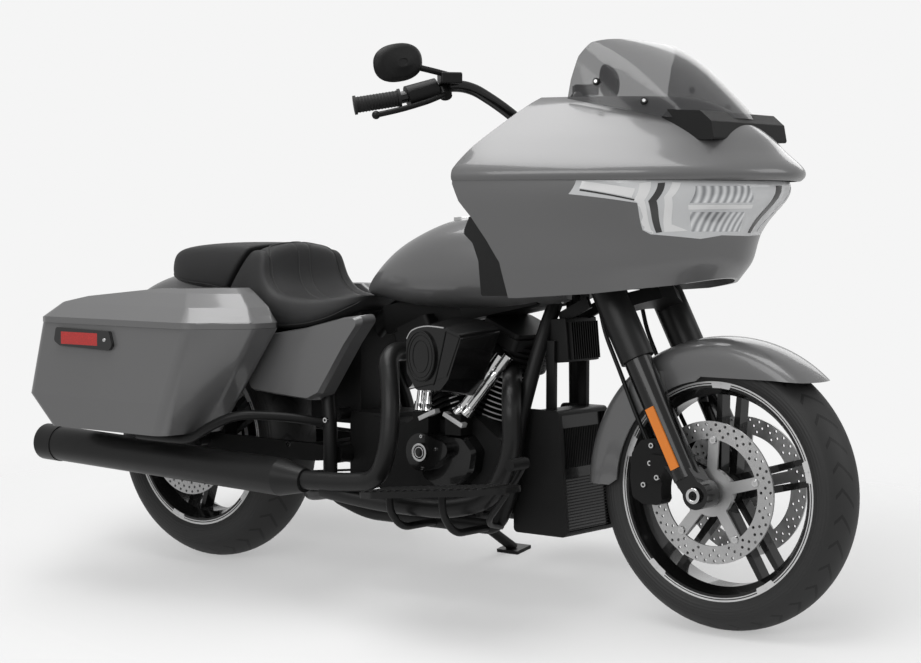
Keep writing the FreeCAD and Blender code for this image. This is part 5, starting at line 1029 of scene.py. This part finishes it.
def makeShieldBolts():
    spots = [hit for _, hit in fromSides("windshield", shieldBolt["places"])]
    setBolts("shieldBolts", "chassis", spots, shieldBolt["radius"], shieldBolt["height"], "blackSatin", "machined")


makeShieldBolts()
print("fairing ready")


# Rider's side: mirrors, grips, dials
mirror = {"spot": (700, 418, 1278), "half": (56, 34), "power": 0.6, "sunk": 0.8, "thick": 1.6, "bevel": 0.5, "steps": 40}


def makeMirrorGlass():
    form = bmesh.new()
    x, y, z = mirror["spot"]
    wide, tall = mirror["half"]
    for side in (1, -1):
        found = touch("mirrors", (x, side * y, z), (1, 0, 0))
        if found is None:
            continue
        place, normal = found
        across = (Vector((0, 1, 0)) - normal * normal.y).normalized()
        upward = normal.cross(across)
        outline = []
        for c, s in ringOf((0, 0), 1.0, [k * 360 / mirror["steps"] for k in range(mirror["steps"])]):
            outline.append(place + across * wide * math.copysign(abs(c) ** mirror["power"], c) +
                           upward * tall * math.copysign(abs(s) ** mirror["power"], s) - normal * mirror["sunk"])
        addPlate(form, outline, normal * mirror["thick"], mirror["bevel"])
    finishPiece("mirrorGlass", form, "mirrorFace", "steering")


grip = {"inner": (972, 342, 1206), "outer": (887, 428, 1186), "ribs": 13, "from": 0.24, "run": 0.72, "half": 1.4,
        "rib": ((0, 16.5), (0, 18.3), (0.8, 19.0), (2.0, 19.0), (2.8, 18.3), (2.8, 16.5))}


def makeGripRings():
    form = bmesh.new()
    for side in (1, -1):
        inner, outer = (Vector((x, side * y, z)) for x, y, z in (grip["inner"], grip["outer"]))
        way = outer - inner
        for index in range(grip["ribs"]):
            spot = inner + way * (grip["from"] + grip["run"] * index / (grip["ribs"] - 1))
            addRound(form, spot - way.normalized() * grip["half"], way, grip["rib"], 36)
    finishPiece("gripRibs", form, "blackRubber", "steering")


dials = ((62.0, 1130.0, 52.0), (-62.0, 1130.0, 52.0), (146.0, 1120.0, 30.0), (-146.0, 1120.0, 30.0))  # y, z, radius
dialMark = {"count": 31, "start": -45, "step": 9, "reach": 0.80, "size": (5.0, 1.1, 0.8)}
needle = {"turn": 200, "middle": 0.3, "half": 0.36, "width": 1.2, "depth": 0.6, "lift": 1.2,
          "hub": ((0, 1.0), (0, 5.5), (2.4, 4.8), (2.4, 1.0))}
speaker = {"y": 226, "z": 1078, "rings": 5, "step": 7.4, "stud": (2.1, 1.4, 1.4)}


def makeDials():
    rings, marks, needles = bmesh.new(), [], bmesh.new()
    for y, z, radius in dials:
        found = touch("gauge_panel", (900, y, z), (1, 0, 0))
        if found is None:
            continue
        face = found[0]
        addRing(rings, face + Vector((0.4, 0, 0)), (-1, 0, 0), radius - 5.0, radius - 1.0, 2.2, 0.8, 64)
        for index in range(dialMark["count"]):
            turn = math.radians(dialMark["start"] + dialMark["step"] * index)
            out = Vector((0, math.cos(turn), math.sin(turn)))
            marks.append((face + out * (radius * dialMark["reach"]) - Vector((0.5, 0, 0)), (-1, 0, 0), out))
        turn = math.radians(needle["turn"])
        out = Vector((0, -math.cos(turn), math.sin(turn)))
        middle = face + out * radius * needle["middle"] - Vector((needle["lift"], 0, 0))
        addBar(needles, middle, (radius * needle["half"], needle["width"], needle["depth"]), out, (-1, 0, 0), 0.3)
        addRound(needles, face, (-1, 0, 0), needle["hub"], 24)
    finishPiece("dialRings", rings, "chrome", "chassis")
    setOut("dialMarks", "Bars", dialMark["size"], marks, "lampWhite", "chassis")
    finishPiece("dialNeedles", needles, "lampWhite", "chassis")
    grille = []
    for side in (1, -1):
        for ring in range(1, speaker["rings"] + 1):
            turns = [index * 360 / (ring * 6) for index in range(ring * 6)]
            for y, z in ringOf((side * speaker["y"], speaker["z"]), speaker["step"] * ring, turns):
                found = touch("gauge_panel", (900, y, z), (1, 0, 0))
                if found:
                    grille.append((found[0] - Vector((0.2, 0, 0)), (-1, 0, 0), (0, 1, 0)))
    if grille:
        setOut("speakerStuds", "Rods", speaker["stud"], grille, "blackGloss", "chassis", 8)


makeMirrorGlass()
makeGripRings()
makeDials()
print("cockpit ready")


# Chassis trim
boards = {"strips": 16, "startX": 862, "pitch": 23.0, "y": 325, "lift": 0.8, "strip": (104.0, 11.0, 4.4)}


def makeBoardRubbers():
    spots = []
    for side in (1, -1):
        for index in range(boards["strips"]):
            start = (boards["startX"] + boards["pitch"] * index, side * boards["y"], 600)
            found = touch("footboards", start, (0, 0, -1))
            if found:
                spots.append((found[0] + found[1] * boards["lift"], found[1], (0, 1, 0)))
    setOut("boardRubbers", "Bars", boards["strip"], spots, "blackRubber", "chassis")


def makeReflectorDots():
    hits = fromSides("bag_reflectors", ((reflector["dotX"], reflector["centre"][2]),))
    setBolts("reflectorDots", "chassis", [(hit[0], (0, side, 0)) for side, hit in hits], 5.0, 2.0, "chrome", "machined")


lidBand = {"foot": 650.6, "bend": 664.0, "top": 681.0, "thick": 1.8, "middleY": 310,
           "front": ((352, 423), (379, 392), (409, 361), (440, 327), (450, 308), (451.5, 281), (450.5, 241), (436, 221),
                     (425, 217)), "frontFrom": 330,
           "rearAcross": (438, 430, 415, 390, 350, 310, 270, 240, 224, 218), "rearFrom": -60, "seam": 648.0,
           "overhang": 1.2}


def addLidBand(form, node, side, seam, middle):
    rows = []
    rise = Vector((0, 0, lidBand["top"] - lidBand["foot"]))
    for x, y in seam:
        foot = Vector((x, side * y, lidBand["foot"]))
        out = Vector((x - middle, side * (y - lidBand["middleY"]) * 0.5, 0)).normalized()
        found = touch(node, foot + out * 90 + rise, -out)
        top = found[0] + out * 0.3 if found else foot + Vector((-14 if out.x > 0 else 14, 0, 30))
        bend = Vector((foot.x, foot.y, lidBand["bend"]))
        rows.append([foot, bend, bend.lerp(top, 0.4) + out * 0.6, top])
    part = bmesh.new()
    verts = [[part.verts.new(spot) for spot in row] for row in rows]
    for first, second in zip(verts, verts[1:]):
        for k in range(3):
            part.faces.new((first[k], second[k], second[k + 1], first[k + 1]))
    bmesh.ops.recalc_face_normals(part, faces=part.faces)
    bmesh.ops.solidify(part, geom=part.faces[:], thickness=lidBand["thick"])
    bmesh.ops.recalc_face_normals(part, faces=part.faces)
    addPart(form, part)


def makeLidBands():
    for side, lid, bag in ((-1, "lid_right", "saddlebag_right"), (1, "lid_left", "saddlebag_left")):
        form = bmesh.new()
        addLidBand(form, lid, side, lidBand["front"], lidBand["frontFrom"])
        rear = []
        for y in lidBand["rearAcross"]:
            found = touch(bag, (-900, side * y, lidBand["seam"]), (1, 0, 0))
            if found:
                rear.append((found[0].x - lidBand["overhang"], y))
        addLidBand(form, lid, side, rear, lidBand["rearFrom"])
        finishPiece("lidBandRight" if side < 0 else "lidBandLeft", form, "panelPaint", lid)


innerCovers = (((505, 0, 548), (88, 78, 146), 0, 16), ((628, -8, 348), (66, 84, 92), 0, 20),  # centre, half, slope, bevel
               ((905, 0, 722), (262, 58, 38), 0.21, 14), ((1030, 0, 738), (118, 88, 40), 0.21, 18))
regulator = (((1196, 0, 640), (26, 64, 52), 0.1, 6),
             ((1180, 66, 548), (12, 7, 92), 0, 3), ((1228, 40, 712), (46, 6, 14), 0.5, 3),
             ((1180, -66, 548), (12, 7, 92), 0, 3), ((1228, -40, 712), (46, 6, 14), 0.5, 3))
regulatorFin = {"count": 13, "x": 1224, "startY": -54, "pitch": 9, "z": 640, "slope": 0.1, "size": (88.0, 2.2, 14.0)}


def makeInnerCovers():
    for name, bars, finish in (("innerCovers", innerCovers, "wrinkleBlack"), ("regulatorAndStraps", regulator, "blackSatin")):
        form = bmesh.new()
        for centre, half, slope, bevel in bars:
            addBar(form, centre, half, (1, 0, slope), (-slope, 0, 1), bevel)
        finishPiece(name, form, finish, "chassis")
    slope = regulatorFin["slope"]
    spots = [(Vector((regulatorFin["x"], regulatorFin["startY"] + regulatorFin["pitch"] * index, regulatorFin["z"])),
              (1, 0, slope), (-slope, 0, 1)) for index in range(regulatorFin["count"])]
    setOut("regulatorFins", "Bars", regulatorFin["size"], spots, "blackSatin", "chassis")


tailBezel = {"middle": (-402, 0, 559.6), "way": (-1, 0, 0.2), "inner": 41.0, "outer": 47.5, "thick": 4.0, "sunk": 3.0,
             "reach": 30.0}


def makeLampBezel():
    found = touch("tail_lamp", (-800, 0, 590), (1, 0, 0))
    form = bmesh.new()
    way = Vector(tailBezel["way"]).normalized()
    middle = Vector(tailBezel["middle"])
    reach = (found[0] - middle).dot(way) if found else tailBezel["reach"]
    addRing(form, middle + way * (reach - tailBezel["sunk"]), way, tailBezel["inner"], tailBezel["outer"],
            tailBezel["thick"], 1.2, 72)
    finishPiece("tailLampBezel", form, "chrome", "chassis")


capRing = {"spot": (915, -52, 1300), "inner": 22.0, "outer": 25.0, "thick": 1.6, "sunk": 0.6}


def makeCapRing():
    found = touch("fuel_cap", capRing["spot"], (0, 0, -1))
    if found:
        form = bmesh.new()
        foot = found[0] - Vector((0, 0, capRing["sunk"]))
        addRing(form, foot, (0, 0, 1), capRing["inner"], capRing["outer"], capRing["thick"])
        finishPiece("capRing", form, "chrome", "chassis")


makeBoardRubbers()
makeReflectorDots()
makeLidBands()
makeInnerCovers()
makeLampBezel()
makeCapRing()
sideBolts = {  # places in x and z, radius and height
    "caliperBolts": ("steering", "front_calipers", ((1497, 380), (1480, 330), (1500, 420), (1520, 350)), 7.0, 4.0),
    "frameBolts": ("chassis", "frame", ((700, 300), (720, 420), (620, 300), (1100, 330), (1180, 240), (560, 420)), 7.5, 5.0),
    "swingarmBolts": ("chassis", "swingarm", ((560, 330), (60, 330), (400, 345)), 7.0, 4.5)}
for name, bolts in sideBolts.items():
    boltsOn(name, *bolts)
print("trim ready")


# Floor, world and lamps
studio = {"floorSize": 9.0, "floorLevel": 0.84, "paleLevel": 0.913, "worldLevel": 0.50, "reach": (1.25, 0.62),
          "fadeFrom": 0.95, "fadeRun": 1.1, "fadeLeast": 0.42}


def makeFloor():
    mesh = bpy.data.meshes.new("floor")
    form = bmesh.new()
    bmesh.ops.create_circle(form, cap_ends=True, radius=studio["floorSize"], segments=96)
    form.to_mesh(mesh)
    form.free()
    floor = bpy.data.objects.new("floor", mesh)
    collection.objects.link(floor)
    board = Board("floorPaint")
    narrow = board.place((1 / studio["reach"][0], 1 / studio["reach"][1], 1))
    away = board.value("ShaderNodeVectorMath", {"operation": "LENGTH"}, {0: narrow}, "Value")
    fade = ((away - studio["fadeFrom"]) / studio["fadeRun"]).most(studio["fadeLeast"]).least(1.0)
    flat = board.node("ShaderNodeBsdfDiffuse", {}, {"Color": (*grey(studio["floorLevel"]), 1.0)})
    clear = board.node("ShaderNodeBsdfTransparent")
    mixed = board.node("ShaderNodeMixShader", {}, {0: fade, 1: flat.outputs[0], 2: clear.outputs[0]})
    board.tree.links.new(mixed.outputs[0], board.output.inputs[0])
    mesh.materials.append(board.material)


def makeWorld():
    world = bpy.data.worlds.new("studio")
    scene.world = world
    world.use_nodes = True
    tree = world.node_tree
    tree.nodes.clear()
    out = tree.nodes.new("ShaderNodeOutputWorld")
    light = tree.nodes.new("ShaderNodeBackground")
    light.inputs["Color"].default_value = (1, 1, 1, 1)
    light.inputs["Strength"].default_value = studio["worldLevel"]
    pale = tree.nodes.new("ShaderNodeBackground")
    pale.inputs["Color"].default_value = (*grey(studio["paleLevel"]), 1)
    path = tree.nodes.new("ShaderNodeLightPath")
    both = tree.nodes.new("ShaderNodeMath")
    both.operation = "MAXIMUM"
    tree.links.new(path.outputs["Is Camera Ray"], both.inputs[0])
    tree.links.new(path.outputs["Is Transmission Ray"], both.inputs[1])
    mixed = tree.nodes.new("ShaderNodeMixShader")
    tree.links.new(both.outputs[0], mixed.inputs[0])
    tree.links.new(light.outputs[0], mixed.inputs[1])
    tree.links.new(pale.outputs[0], mixed.inputs[2])
    tree.links.new(mixed.outputs[0], out.inputs[0])
    scene.view_settings.view_transform = "Standard"


lamps = {
    "overhead": {"place": (500.0, -900.0, 4200.0), "aim": (700.0, 0.0, 500.0), "size": (4.2, 2.6), "power": 120.0},
    "nearSide": {"place": (1500.0, -4600.0, 2300.0), "aim": (800.0, 0.0, 600.0), "size": (4.5, 1.8), "power": 60.0},
    "frontSide": {"place": (5200.0, 1200.0, 2400.0), "aim": (1200.0, 0.0, 700.0), "size": (2.6, 2.6), "power": 35.0},
    "farSide": {"place": (-800.0, 4200.0, 2600.0), "aim": (600.0, 0.0, 700.0), "size": (4.0, 1.6), "power": 28.0},
}


def makeLamps():
    for name, lamp in lamps.items():
        data = bpy.data.lights.new(name, "AREA")
        data.shape = "RECTANGLE"
        data.size, data.size_y = lamp["size"]
        data.energy = lamp["power"]
        lampObject = bpy.data.objects.new(name, data)
        collection.objects.link(lampObject)
        lampObject.location = bike(*lamp["place"])
        lampObject.rotation_mode = "QUATERNION"
        lampObject.rotation_quaternion = (bike(*lamp["aim"]) - bike(*lamp["place"])).to_track_quat("-Z", "Y")


makeFloor()
makeWorld()
makeLamps()
print("studio ready")
